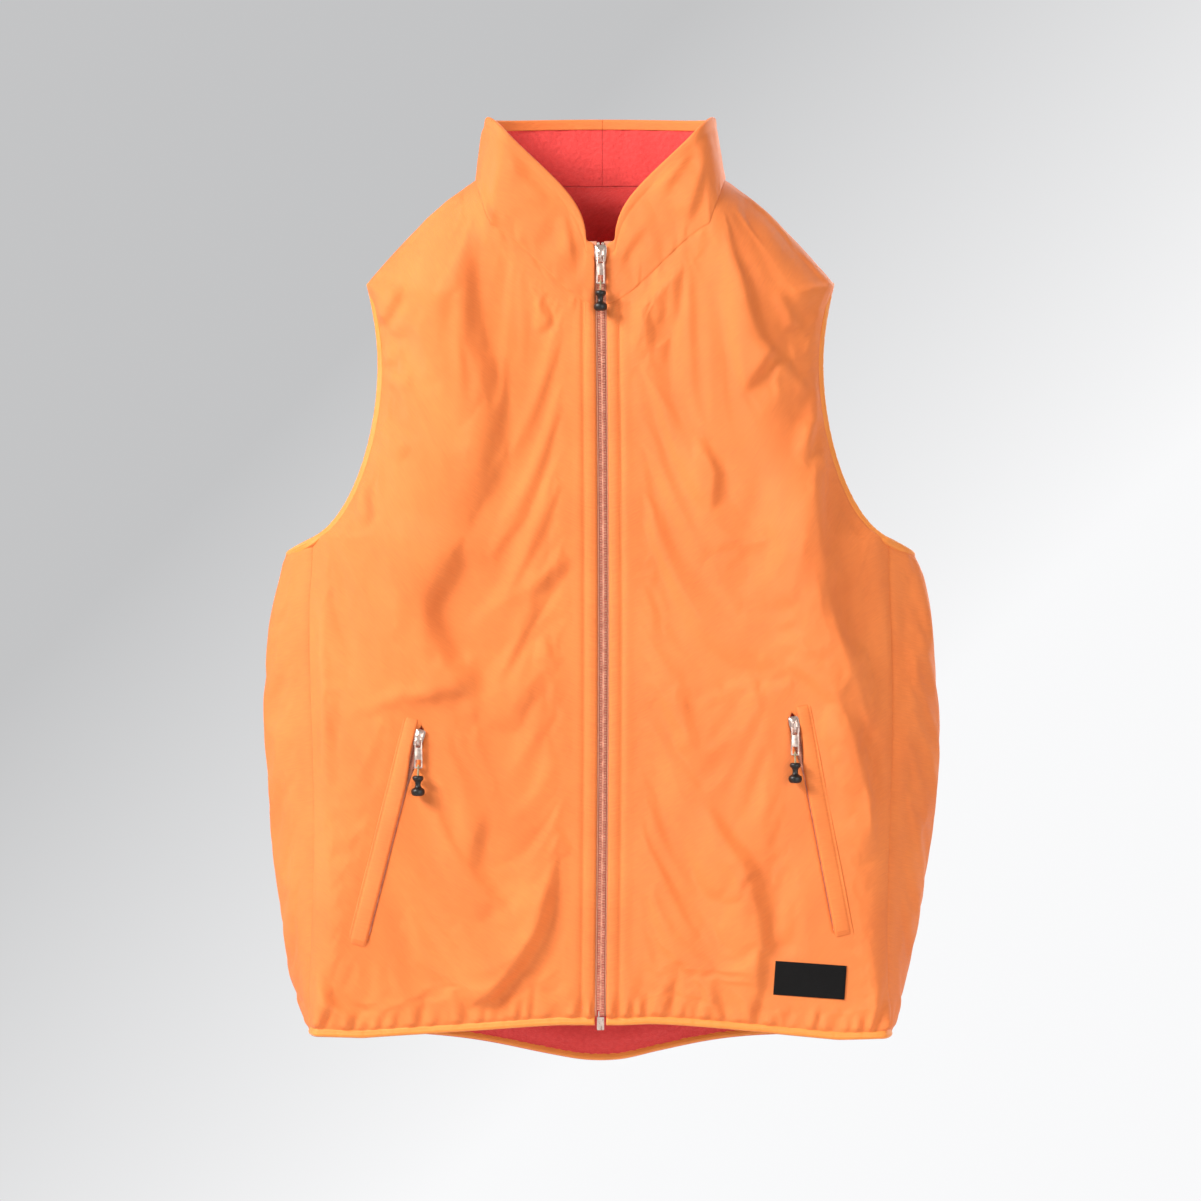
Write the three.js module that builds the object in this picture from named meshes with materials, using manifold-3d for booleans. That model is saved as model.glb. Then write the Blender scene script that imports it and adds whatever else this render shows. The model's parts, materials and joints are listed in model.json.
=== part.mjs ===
// Reversible zip-front vest, as it hangs closed: a woven outer shell over a fleece lining, with a stand
// collar, elastic-bound armholes and hem, a full-length front zip and two slanted zipped hand pockets.
// Millimetres, +Z up, the front faces -Y and the wearer's left is +X. The origin is on the vest's
// mid-plane, level with the bottom of the collar, where a hanger carries it.
import * as THREE from "three";
import Module from "manifold-3d";
import { mergeVertices } from "three/addons/utils/BufferGeometryUtils.js";

const wasm = await Module();
wasm.setup();

// ---- Driving dimensions ----
const GAP = 0.3; // between pieces that touch

const bodyLength = 702; // origin down to the front hem beside the zip
const frontDepth = 60; // mid-plane to the outer face of the front
const backDepth = 50; // mid-plane to the outer face of the back
const backNeckDepth = 46;

const shellThick = 1.0;
const liningThick = 3.0;
const trimThick = 1.0; // welts
const labelThick = 0.8;
const bagThick = 0.8;
const plyRoom = 4.5; // between the shell and the lining, where the zips and pocket bags lie

const neck = { x: 107, z: 15 }; // where collar and shoulder seam meet
const neckBackZ = 14;
const shoulderTip = { x: 201, z: -75 };
const shoulderCrown = 6; // how far the shoulder seam bows up
const armpit = { x: 245, z: -291 }; // front and back ends of the side panel's top
const armholeFront = { near: [172, -158], far: [205, -274] }; // control points of the armhole's curve
const armholeHalfFront = 26; // half the armhole's width, towards the front and the back
const armholeHalfBack = 24;
const armholeCrown = 0.35; // below 1, the armhole's top is round; smaller is flatter
const sideTop = { x: 269, z: -303 }; // middle of the side panel's top
const hemHalf = 248;
const sideBulge = 28.5; // how far the sides swell between armhole and hem
const sideSeamX = 245;
const sideSeamFront = { top: 27, bottom: 48 }; // mid-plane to the seams of the side panel
const sideSeamBack = { top: 25, bottom: 42 };

const hemFrontCentre = -bodyLength;
const hemFrontSide = hemFrontCentre - 11;
const hemFrontReach = 200; // where the front hem levels out
const hemBackSide = hemFrontSide - 6;
const hemTail = 26; // extra length of the back's drop tail
const hemTailHalf = 90;

const foldTop = { x: 90, z: -20 }; // the line on which each front folds open
const foldBottom = { x: 236, z: hemFrontSide + 2 };
const foldNeckZ = -28; // where that line crosses the collar seam
const foldCollarZ = 44; // and the collar's edge

const neckSeamFrontZ = -96; // collar seam at the zip
const collarTop = { half: 99, sideZ: 66, backZ: 71, depth: 50 };
const collarNotch = { x: 12, z: -46 }; // the collar's front corner beside the zip

const bindWide = 7; // elastic edging of hem and armholes
const bindWall = 0.8; // how far it stands proud of the cloth on each face
const bindChamfer = 1.6;

const stop = { height: 2.2, width: 2.2 };
const slider = { length: 14, plate: 1.2, top: 2.5, rise: 1.0, nose: 6.3 };
const crown = { half: 1.0, up: 4.6, down: 2.3, height: 3.4, wall: 1.0, pivotZ: -9.5 };
const tab = { length: 24, half: 3.6, thick: 1.2, rim: 0.7, slotHalf: 2.1 };
const cordRadius = 0.9;
const cordShown = 6; // cord between the tab and the knob
const knob = { radius: 6, height: 17, standOff: 1.6 };

const box = { wall: 0.6, floor: 1.7, drop: 4 }; // drop: how far it hangs below the hem line
const pin = { width: 1.2, rise: 5 };
// Half the coil's width, the tape beside it, and how far the cloth edge and the slider reach past the coil.
const mainZip = { z: collarNotch.z + 2, coil: 3.0, tape: 12, opening: 1.8, sliderHalf: 2.0 };
const pocketZip = { length: 186, coil: 2.2, tape: 9, opening: 1.4, sliderHalf: 2.0 };
const pocketTop = {
  left: { x: 161, z: hemFrontCentre + 262 },
  right: { x: -150, z: hemFrontCentre + 251 },
};
const pocketTilt = { left: 10.8, right: 14.2 }; // degrees from upright
const weltWide = 12.5;
const bag = { inward: 92, above: 16, below: 46, outward: 8, corner: 18 };
const label = { x: 176, z: hemFrontCentre + 38, width: 60, height: 28.5, turn: -4 };

// ---- Derived layers, as distances behind the shell's outer face ----
const mainEdge = mainZip.coil + mainZip.opening; // the cloth's edge beside the front zip
const liningFace = shellThick + plyRoom;
const fabricDepth = liningFace + liningThick;
const tapeFace = shellThick + 0.4;
const tapeThick = 0.6;
const chainFace = shellThick - 0.6;
const chainThick = 2.0;
const rearPlateFace = chainFace + chainThick + GAP;
const bagFace = liningFace - GAP - bagThick;

const { lerp, smoothstep, degToRad } = THREE.MathUtils;

// ---- Colours and finishes ----
const finishes = {
  shell: [0xff9a55, 0.6, 0],
  lining: [0xf7524b, 0.95, 0],
  binding: [0xfca756, 0.8, 0],
  tape: [0xc9763f, 0.85, 0],
  coil: [0xa8643a, 0.45, 0],
  metal: [0xd9d2c8, 0.3, 1],
  knob: [0x191412, 0.45, 0],
  label: [0x16130f, 0.9, 0],
};
const vest = new THREE.Group();

function add(name, geometry, finish, parent = vest) {
  const [color, roughness, metalness] = finishes[finish];
  const mesh = new THREE.Mesh(geometry, new THREE.MeshStandardMaterial({ color, roughness, metalness }));
  mesh.name = name;
  parent.add(mesh);
  return mesh;
}

// ---- Solids from outlines ----
// An outline drawn in X and Z, as a slab whose front face lies at yFront.
function slab(shape, yFront, thick, curveSegments = 6) {
  const geometry = new THREE.ExtrudeGeometry(shape, { depth: thick, bevelEnabled: false, curveSegments });
  geometry.rotateX(Math.PI / 2);
  geometry.translate(0, yFront + thick, 0);
  return geometry;
}

function polygon(points) {
  return new THREE.Shape(points.map(([x, z]) => new THREE.Vector2(x, z)));
}

function rectangle(x0, x1, z0, z1) {
  return polygon([
    [x0, z0],
    [x1, z0],
    [x1, z1],
    [x0, z1],
  ]);
}

// A polygon with each corner rounded off.
function rounded(points, radius) {
  const shape = new THREE.Shape();
  const corners = points.map(([x, z]) => new THREE.Vector2(x, z));
  corners.forEach((corner, i) => {
    const before = corners[(i + corners.length - 1) % corners.length];
    const after = corners[(i + 1) % corners.length];
    const enter = corner.clone().add(before.clone().sub(corner).setLength(radius));
    const leave = corner.clone().add(after.clone().sub(corner).setLength(radius));
    if (i === 0) shape.moveTo(enter.x, enter.y);
    else shape.lineTo(enter.x, enter.y);
    shape.quadraticCurveTo(corner.x, corner.y, leave.x, leave.y);
  });
  shape.closePath();
  return shape;
}

function toSolid(geometry) {
  const bare = geometry.clone();
  bare.deleteAttribute("normal");
  bare.deleteAttribute("uv");
  const merged = mergeVertices(bare, 1e-4);
  const vertProperties = new Float32Array(merged.attributes.position.array);
  const triVerts = new Uint32Array(merged.index.array);
  return new wasm.Manifold(new wasm.Mesh({ numProp: 3, vertProperties, triVerts }));
}

// What is left of a solid after the cutters are taken away: its largest piece.
function cut(solid, cutters) {
  const left = cutters.reduce((rest, cutter) => rest.subtract(cutter), solid);
  const pieces = left.decompose().sort((a, b) => b.volume() - a.volume());
  return toGeometry(pieces[0]);
}

function toGeometry(solid) {
  const { vertProperties, triVerts } = solid.getMesh();
  const geometry = new THREE.BufferGeometry();
  geometry.setAttribute("position", new THREE.BufferAttribute(vertProperties, 3));
  geometry.setIndex(new THREE.BufferAttribute(triVerts, 1));
  return geometry;
}

// ---- Closed solids from rows of points ----
// Rings of equal length, joined in order; the ends are capped unless the rings close on themselves.
function skin(rings, closed) {
  const size = rings[0].length;
  const index = [];
  const joins = closed ? rings.length : rings.length - 1;
  for (let r = 0; r < joins; r++)
    for (let k = 0; k < size; k++) {
      const a = r * size + k;
      const b = r * size + ((k + 1) % size);
      const c = ((r + 1) % rings.length) * size + k;
      const d = ((r + 1) % rings.length) * size + ((k + 1) % size);
      index.push(a, c, b, b, c, d);
    }
  if (!closed)
    for (let k = 1; k < size - 1; k++) {
      const last = (rings.length - 1) * size;
      index.push(0, k, k + 1, last, last + k + 1, last + k);
    }
  return facingOut(rings.flat(), index);
}

function facingOut(points, index) {
  let volume = 0;
  for (let i = 0; i < index.length; i += 3) {
    const [a, b, c] = [points[index[i]], points[index[i + 1]], points[index[i + 2]]];
    volume += a.dot(b.clone().cross(c));
  }
  const faces = volume < 0 ? index.reverse() : index;
  const geometry = new THREE.BufferGeometry().setFromPoints(points);
  geometry.setIndex(faces);
  return geometry;
}

// A sheet of cloth on a surface(u, v), u and v from 0 to 1. It lies deep(u) behind the surface, and each
// edge is drawn in by its inset.
function sheet(surface, columns, rows, deep, thick, insets) {
  const place = (i, j) => [columns[i], rows[j]];
  const grid = columns.map((_, i) => rows.map((__, j) => surface(...place(i, j))));
  const out = columns.map((_, i) => rows.map((__, j) => outward(surface, ...place(i, j))));
  const far = columns.length - 1;
  const end = rows.length - 1;
  const draw = (point, towards, distance) =>
    point.clone().add(towards.clone().sub(point).setLength(distance));
  rows.forEach((_, j) => {
    grid[0][j] = draw(grid[0][j], grid[1][j], insets.start);
    grid[far][j] = draw(grid[far][j], grid[far - 1][j], insets.finish);
  });
  columns.forEach((_, i) => {
    grid[i][0] = draw(grid[i][0], grid[i][1], insets.top);
    grid[i][end] = draw(grid[i][end], grid[i][end - 1], insets.bottom);
  });
  const sink = (more) =>
    grid.map((line, i) =>
      line.map((p, j) => p.clone().addScaledVector(out[i][j], -deep(columns[i]) - more)),
    );
  const front = sink(0);
  const rear = sink(thick);
  const rim = grid.map((_, i) => [...front[i], ...rear[i].slice().reverse()]);
  return capped(rim, rows.length);
}

// Rings made of a front row and a rear row; the caps at both ends are strips between the two rows. Both
// faces split their quads along the same diagonal, so layers of cloth stay parallel.
function capped(rings, half) {
  const size = 2 * half;
  const index = [];
  for (let r = 0; r < rings.length - 1; r++)
    for (let k = 0; k < size; k++) {
      const a = r * size + k;
      const b = r * size + ((k + 1) % size);
      if (k < half) index.push(a, a + size, b, b, a + size, b + size);
      else index.push(a, a + size, b + size, a, b + size, b);
    }
  const last = (rings.length - 1) * size;
  for (let k = 0; k < half - 1; k++) {
    const opposite = size - 1 - k;
    index.push(k, k + 1, opposite, k + 1, opposite - 1, opposite);
    index.push(last + k, last + opposite, last + k + 1, last + k + 1, last + opposite, last + opposite - 1);
  }
  return facingOut(rings.flat(), index);
}

// The outward unit normal of a surface, away from the vest's upright mid-line.
function outward(surface, u, v) {
  const step = 1e-3;
  const [u0, u1] = [Math.max(0, u - step), Math.min(1, u + step)];
  const [v0, v1] = [Math.max(0, v - step), Math.min(1, v + step)];
  const along = surface(u1, v).sub(surface(u0, v));
  const down = surface(u, v1).sub(surface(u, v0));
  const normal = along.cross(down).normalize();
  const here = surface(u, v).setZ(0);
  return normal.dot(here) < 0 ? normal.negate() : normal;
}

const steps = (count) => Array.from({ length: count + 1 }, (_, i) => i / count);
const crowded = (count) => steps(count).map((t) => Math.sin((t * Math.PI) / 2)); // denser towards 1

// ---- The vest's form, for the wearer's left ----
const foldX = (z) => {
  const slope = (foldBottom.x - foldTop.x) / (foldTop.z - foldBottom.z);
  return foldTop.x + (foldTop.z - z) * slope;
};
const hemFrontZ = (x) => lerp(hemFrontCentre, hemFrontSide, Math.min(1, Math.abs(x) / hemFrontReach) ** 2);
const tailShare = (x) => Math.exp(-((x / hemTailHalf) ** 2));
const shoulderEnd = 0.2; // shares of a front's or back's length down to the shoulder tip and armpit
const armholeEnd = 0.55;

// A share of the length, split into its stretch (shoulder, armhole, side) and the place in it.
function stretch(v) {
  if (v <= shoulderEnd) return ["shoulder", v / shoulderEnd];
  if (v <= armholeEnd) return ["armhole", (v - shoulderEnd) / (armholeEnd - shoulderEnd)];
  return ["side", (v - armholeEnd) / (1 - armholeEnd)];
}

const seamDepth = (seam, s) => lerp(seam.top, seam.bottom, smoothstep(s, 0, 0.8));

// The outer edge of a front (facing = -1) or back (facing = 1) panel: shoulder, armhole, side seam.
function panelEdge(v, facing) {
  const [part, t] = stretch(v);
  const half = facing < 0 ? armholeHalfFront : armholeHalfBack;
  if (part === "shoulder") {
    const z = lerp(neck.z, shoulderTip.z, t) + shoulderCrown * Math.sin(Math.PI * t);
    return new THREE.Vector3(lerp(neck.x, shoulderTip.x, t), 0, z);
  }
  if (part === "armhole") {
    const curve = new THREE.CubicBezierCurve(
      new THREE.Vector2(shoulderTip.x, shoulderTip.z),
      new THREE.Vector2(...armholeFront.near),
      new THREE.Vector2(...armholeFront.far),
      new THREE.Vector2(armpit.x, armpit.z),
    );
    const p = curve.getPoint(t);
    const y = facing * half * Math.sin(Math.min(1, t * 1.6) * (Math.PI / 2)) ** armholeCrown;
    return new THREE.Vector3(p.x, y, p.y);
  }
  const seam = facing < 0 ? sideSeamFront : sideSeamBack;
  const y = facing * lerp(half, seamDepth(seam, t), Math.min(1, t * 6));
  const z = lerp(armpit.z, facing < 0 ? hemFrontSide : hemBackSide, t);
  return new THREE.Vector3(lerp(armpit.x, sideSeamX, Math.min(1, t * 4)), y, z);
}

// How a cloth section leaves the flat front or back: a circular arc that turns further at the shoulder.
function roll(u, v) {
  const turn = v < shoulderEnd ? 1 : lerp(1, 0.75, smoothstep(v, shoulderEnd, shoulderEnd + 0.12));
  return (1 - Math.sqrt(1 - (turn * u) ** 2)) / (1 - Math.sqrt(1 - turn ** 2));
}

function frontOuter(u, v) {
  const [part, t] = stretch(v);
  const levels = { shoulder: [foldNeckZ, -95], armhole: [-95, armpit.z], side: [armpit.z, hemFrontSide] };
  const z = lerp(...levels[part], t);
  const edge = panelEdge(v, -1);
  const x = foldX(z);
  return new THREE.Vector3(lerp(x, edge.x, u), lerp(-frontDepth, edge.y, roll(u, v)), lerp(z, edge.z, u));
}

// The whole back: across = -1 at the wearer's right edge, 1 at the left edge.
function backAt(across, v) {
  const [part, t] = stretch(v);
  const hem = hemBackSide - hemTail;
  const levels = { shoulder: [neckBackZ, -70], armhole: [-70, -300], side: [-300, hem] };
  const z = lerp(...levels[part], t);
  const edge = panelEdge(v, 1);
  const depth = lerp(backNeckDepth, backDepth, smoothstep(v, 0, armholeEnd));
  const share = Math.abs(across);
  const x = across * edge.x;
  const y = lerp(depth, edge.y, roll(share, v));
  return new THREE.Vector3(x, y, lerp(edge.z, z, share === 1 ? 0 : tailShare(x)));
}
const back = (u, v) => backAt(2 * u - 1, v);

// A side panel: u from its front seam round to its back seam, v from armhole to hem.
function sidePanel(u, v) {
  const round = 2 * u - 1;
  const top = lerp(sideTop.z, armpit.z, round ** 2);
  const bottom = lerp(hemFrontSide, hemBackSide, u);
  const swell = sideBulge * Math.sin(Math.PI * v) ** 0.8;
  const half = lerp(sideTop.x, hemHalf, v) + swell;
  const seam = panelEdge(lerp(armholeEnd, 1, v), round < 0 ? -1 : 1);
  const x = lerp(half, seam.x, Math.abs(round) ** 2.2);
  return new THREE.Vector3(x, Math.abs(round) * seam.y, lerp(top, bottom, v));
}

// The collar behind the fold line, one half: t = 0 at the back's middle, 0.5 at the neck point, 1 at the
// fold line; h = 0 at the seam, 1 at the top edge.
function collarHalf(t, h) {
  const angle = t * Math.PI;
  const across = Math.sin(angle);
  if (t <= 0.5) {
    const low = backAt(across, 0);
    const topZ = lerp(collarTop.backZ, collarTop.sideZ, across ** 2);
    return low.lerp(new THREE.Vector3(collarTop.half * across, collarTop.depth * Math.cos(angle), topZ), h);
  }
  const low = frontOuter(across, 0);
  const x = lerp(foldX(foldCollarZ), collarTop.half, across);
  const top = new THREE.Vector3(x, frontDepth * Math.cos(angle), lerp(foldCollarZ, collarTop.sideZ, across));
  return low.lerp(top, h);
}
function collarBand(u, h) {
  const round = 2 * u - 1;
  const p = collarHalf(Math.abs(round), 1 - h);
  return round < 0 ? p.setX(-p.x) : p;
}

// ---- Flat fronts ----
const hemEdge = bindWide + 2 * GAP; // the hem line bends, so the cloth keeps a little more room
const edgeDepth = shellThick + GAP + liningThick; // cloth held in an edge's binding

// The collar seam on the flat front, from the zip to the fold line.
const neckSeam = (edge, raise) =>
  new THREE.CubicBezierCurve(
    new THREE.Vector2(edge, neckSeamFrontZ + raise),
    new THREE.Vector2(30, neckSeamFrontZ + 4 + raise),
    new THREE.Vector2(60, foldNeckZ - 16 + raise),
    new THREE.Vector2(foldX(foldNeckZ) - GAP, foldNeckZ + raise),
  );

function flatFront(edge) {
  const hem = steps(6).map((t) => {
    const x = lerp(foldX(hemFrontSide + hemEdge) - GAP, edge, t);
    return [x, hemFrontZ(x) + hemEdge];
  });
  const seam = neckSeam(edge, -GAP).getPoints(8);
  return polygon([...hem, ...seam.map((p) => [p.x, p.y])]);
}

function flatCollar(edge, notchX) {
  const shape = new THREE.Shape();
  const seam = neckSeam(edge, GAP).getPoints(8).reverse();
  seam.forEach((p, i) => (i ? shape.lineTo(p.x, p.y) : shape.moveTo(p.x, p.y)));
  shape.lineTo(edge, collarNotch.z - 6);
  shape.quadraticCurveTo(edge, collarNotch.z, notchX, collarNotch.z + 1);
  const fold = foldX(foldCollarZ) - GAP;
  shape.bezierCurveTo(notchX + 1, collarNotch.z + 36, 38, 6, fold, foldCollarZ);
  shape.closePath();
  return shape;
}

// ---- Zips ----
// Drawn in a frame of their own: z = 0 at the tape's top, y = 0 at the shell's outer face.
const pivotY = -slider.rise - slider.plate - 1.25;

function sliderBody(half) {
  const outline = new THREE.Shape();
  const top = -slider.top;
  outline.moveTo(-half * 0.78, top - slider.length);
  outline.lineTo(half * 0.78, top - slider.length);
  outline.lineTo(half, top - slider.length * 0.45);
  outline.lineTo(half, top - 2);
  outline.quadraticCurveTo(half, top, half - 2, top);
  outline.lineTo(2 - half, top);
  outline.quadraticCurveTo(-half, top, -half, top - 2);
  outline.lineTo(-half, top - slider.length * 0.45);
  outline.closePath();
  const bite = 0.1; // joined pieces run this far into each other
  const frontPlate = toSolid(slab(outline, -slider.rise - slider.plate, slider.plate));
  const rearPlate = toSolid(slab(outline, rearPlateFace, 1.0));
  const wedge = polygon([
    [-1.2, top - 1],
    [-0.4, top - slider.nose + 0.8],
    [0.4, top - slider.nose + 0.8],
    [1.2, top - 1],
  ]);
  const divider = toSolid(slab(wedge, -slider.rise - bite, rearPlateFace + slider.rise + 2 * bite));
  return toGeometry(frontPlate.add(rearPlate).add(divider).add(toSolid(crownArch(bite))));
}

// The bridge on the slider's face that holds the tab.
function crownArch(bite) {
  const { up, down, height, wall } = crown;
  const arch = new THREE.Shape();
  const bend = 1.3;
  arch.moveTo(-down, -bite);
  arch.lineTo(-down, height - bend);
  arch.quadraticCurveTo(-down, height, bend - down, height);
  arch.lineTo(up - bend, height);
  arch.quadraticCurveTo(up, height, up, height - bend);
  arch.lineTo(up, -bite);
  arch.lineTo(up - wall, -bite);
  arch.lineTo(up - wall, height - wall);
  arch.lineTo(wall - down, height - wall);
  arch.lineTo(wall - down, -bite);
  arch.closePath();
  const geometry = new THREE.ExtrudeGeometry(arch, {
    depth: 2 * crown.half,
    bevelEnabled: false,
    curveSegments: 4,
  });
  const axes = new THREE.Matrix4().makeBasis(
    new THREE.Vector3(0, 0, 1),
    new THREE.Vector3(0, -1, 0),
    new THREE.Vector3(1, 0, 0),
  );
  geometry.applyMatrix4(axes);
  geometry.translate(-crown.half, -slider.rise - slider.plate, sliderPivotZ);
  return geometry;
}
const sliderPivotZ = -slider.top + crown.pivotZ;

// The tab hangs from z = 0 on its bar.
function tabPlate() {
  const foot = tab.rim - tab.length;
  const shape = rounded(
    [
      [-tab.half + 0.4, tab.rim],
      [tab.half - 0.4, tab.rim],
      [tab.half, foot],
      [-tab.half, foot],
    ],
    1.2,
  );
  shape.holes.push(rectangle(-tab.slotHalf, tab.slotHalf, -tab.rim - 5.2, -tab.rim));
  shape.holes.push(rectangle(-2.3, 2.3, foot + 2 * tab.rim, foot + 2 * tab.rim + 6));
  return slab(shape, -tab.thick / 2, tab.thick, 3);
}
const lowerBarZ = tab.rim - tab.length + tab.rim; // middle of the bar that carries the cord
const knobTopZ = tab.rim - tab.length - cordShown;
const knobY = -(knob.radius + knob.standOff) - pivotY; // from the tab's plane

// A loop of cord round the tab's lower bar, with both ends in the knob.
function cordLoop() {
  const turn = tab.rim * 1.32 + cordRadius + GAP;
  const legs = 1.1;
  const ends = knobTopZ + GAP;
  const curve = new THREE.CatmullRomCurve3([
    new THREE.Vector3(0, knobY + legs, ends),
    new THREE.Vector3(0, knobY + legs + 0.4, ends + 1.5),
    new THREE.Vector3(0, turn, lowerBarZ - 1),
    new THREE.Vector3(0, turn, lowerBarZ),
    new THREE.Vector3(0, turn * Math.SQRT1_2, lowerBarZ + turn * Math.SQRT1_2),
    new THREE.Vector3(0, 0, lowerBarZ + turn),
    new THREE.Vector3(0, -turn * Math.SQRT1_2, lowerBarZ + turn * Math.SQRT1_2),
    new THREE.Vector3(0, -turn, lowerBarZ),
    new THREE.Vector3(0, -turn - 0.4, lowerBarZ - 1.5),
    new THREE.Vector3(0, knobY - legs - 0.2, ends + 1.5),
    new THREE.Vector3(0, knobY - legs, ends),
  ]);
  const section = new THREE.Shape();
  section.absarc(0, 0, cordRadius, 0, 2 * Math.PI);
  return new THREE.ExtrudeGeometry(section, { extrudePath: curve, steps: 18, curveSegments: 3 });
}

function knobBody() {
  const profile = [
    [0, 0],
    [0.5, 0],
    [0.79, -0.07],
    [0.77, -0.19],
    [0.43, -0.33],
    [0.39, -0.45],
    [0.62, -0.56],
    [0.94, -0.65],
    [1, -0.76],
    [0.9, -0.9],
    [0.6, -0.98],
    [0, -1],
  ];
  const points = profile.map(([r, h]) => new THREE.Vector2(r * knob.radius, -h * knob.height));
  const geometry = new THREE.LatheGeometry(points, 10);
  geometry.rotateX(-Math.PI / 2);
  return geometry;
}

// A slider with its tab, cord and knob. The tab and what hangs from it stay upright whatever the zip's turn.
function pullSet(zipGroup, half, names, turn) {
  add(names("slider"), sliderBody(half), "metal", zipGroup);
  const hung = new THREE.Group();
  hung.position.set(0, pivotY, sliderPivotZ);
  hung.rotation.y = -turn;
  zipGroup.add(hung);
  add(names("tab"), tabPlate(), "metal", hung);
  add(names("cord"), cordLoop(), "knob", hung);
  const end = add(names("knob"), knobBody(), "knob", hung);
  end.position.set(0, knobY, knobTopZ);
}

function tapeShape(zip, side, foot) {
  const inner = side * (zip.coil + GAP);
  return rectangle(...[inner, inner + side * zip.tape].sort((a, b) => a - b), foot, 0);
}

function buildMainZip() {
  const group = new THREE.Group();
  group.position.set(0, -frontDepth, mainZip.z);
  vest.add(group);
  const chainTop = -slider.top - slider.nose;
  const foot = hemFrontCentre + hemEdge - mainZip.z;
  const boxTop = foot - 2 * GAP;
  const boxFoot = hemFrontCentre - box.drop - mainZip.z;
  const pinTop = boxTop + pin.rise;
  for (const [name, side] of [
    ["left", 1],
    ["right", -1],
  ]) {
    const across = (near, far) => [side * near, side * far].sort((a, b) => a - b);
    add(`main_tape_${name}`, slab(tapeShape(mainZip, side, foot), tapeFace, tapeThick), "tape", group);
    const chainEnd = (side > 0 ? boxTop : pinTop) + GAP;
    const coils = rectangle(...across(GAP / 2, mainZip.coil), chainEnd, chainTop);
    add(`main_chain_${name}`, slab(coils, chainFace, chainThick), "coil", group);
    const block = rectangle(...across(mainZip.coil - stop.width, mainZip.coil), -stop.height, 0);
    add(`main_top_stop_${name}`, slab(block, chainFace, chainThick), "metal", group);
  }
  const body = toSolid(
    slab(
      rectangle(-mainZip.coil, mainZip.coil, boxFoot, boxTop),
      chainFace - box.wall,
      chainThick + 2 * box.wall,
    ),
  );
  const pinFar = mainZip.coil - box.wall - GAP;
  const pinNear = pinFar - pin.width;
  const room = rectangle(-pinFar - GAP, -pinNear + GAP, boxFoot + box.floor, boxTop + 1);
  const pocket = toSolid(slab(room, chainFace, chainThick));
  add("main_retainer_box", toGeometry(body.subtract(pocket)), "metal", group);
  const rod = rectangle(-pinFar, -pinNear, boxFoot + box.floor + GAP, pinTop);
  add("main_insertion_pin", slab(rod, chainFace + GAP, chainThick - 2 * GAP), "metal", group);
  pullSet(group, mainZip.coil + mainZip.sliderHalf, (piece) => `main_${piece}`, 0);
}

// A hand pocket: its zip, the welt on the outer side of the slit and the bag behind the shell.
function buildPocket(name, side) {
  const group = new THREE.Group();
  const turn = -side * degToRad(pocketTilt[name]);
  group.position.set(pocketTop[name].x, -frontDepth, pocketTop[name].z);
  group.rotation.y = turn;
  vest.add(group);
  for (const [place, way] of [
    ["outer", side],
    ["inner", -side],
  ]) {
    const strip = tapeShape(pocketZip, way, -pocketZip.length);
    add(`pocket_tape_${place}_${name}`, slab(strip, tapeFace, tapeThick), "tape", group);
  }
  const chainTop = -slider.top - slider.nose;
  const coils = rectangle(-pocketZip.coil, pocketZip.coil, stop.height + GAP - pocketZip.length, chainTop);
  add(`pocket_chain_${name}`, slab(coils, chainFace, chainThick), "coil", group);
  const stopTop = stop.height - pocketZip.length;
  const block = rectangle(-pocketZip.coil, pocketZip.coil, stopTop - stop.height, stopTop);
  add(`pocket_stop_${name}`, slab(block, chainFace, chainThick), "metal", group);
  pullSet(group, pocketZip.coil + pocketZip.sliderHalf, (piece) => `pocket_${piece}_${name}`, turn);
  const near = pocketZip.coil + pocketZip.sliderHalf + GAP;
  const welt = rounded(
    [
      [side * near, 5],
      [side * (near + weltWide), 5],
      [side * (near + weltWide), -pocketZip.length - 5],
      [side * near, -pocketZip.length - 5],
    ],
    4,
  );
  add(`pocket_welt_${name}`, slab(welt, -GAP - trimThick, trimThick, 4), "shell", group);
  const pouch = rounded(
    [
      [side * bag.outward, bag.above],
      [-side * bag.inward * 0.75, bag.above - 12],
      [-side * bag.inward, -pocketZip.length - bag.below + 30],
      [-side * (bag.inward - 30), -pocketZip.length - bag.below],
      [side * bag.outward, -pocketZip.length - bag.below + 24],
    ],
    bag.corner,
  );
  add(`pocket_bag_${name}`, slab(pouch, bagFace, bagThick, 4), "lining", group);
}

// ---- Fronts: the flat parts that swing open ----
function pocketSlot(name) {
  const side = name === "left" ? 1 : -1;
  const angle = side * degToRad(pocketTilt[name]);
  const half = pocketZip.coil + pocketZip.opening;
  const [x0, x1, z0, z1] = [-half, half, -pocketZip.length - 1, 1];
  const corners = [
    [x0, z0],
    [x1, z0],
    [x1, z1],
    [x0, z1],
  ];
  const turned = corners.map(([x, z]) => [
    side * (pocketTop[name].x + x * Math.cos(angle) - z * Math.sin(angle)),
    pocketTop[name].z + x * Math.sin(angle) + z * Math.cos(angle),
  ]);
  return polygon(side < 0 ? turned.reverse() : turned);
}

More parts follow.
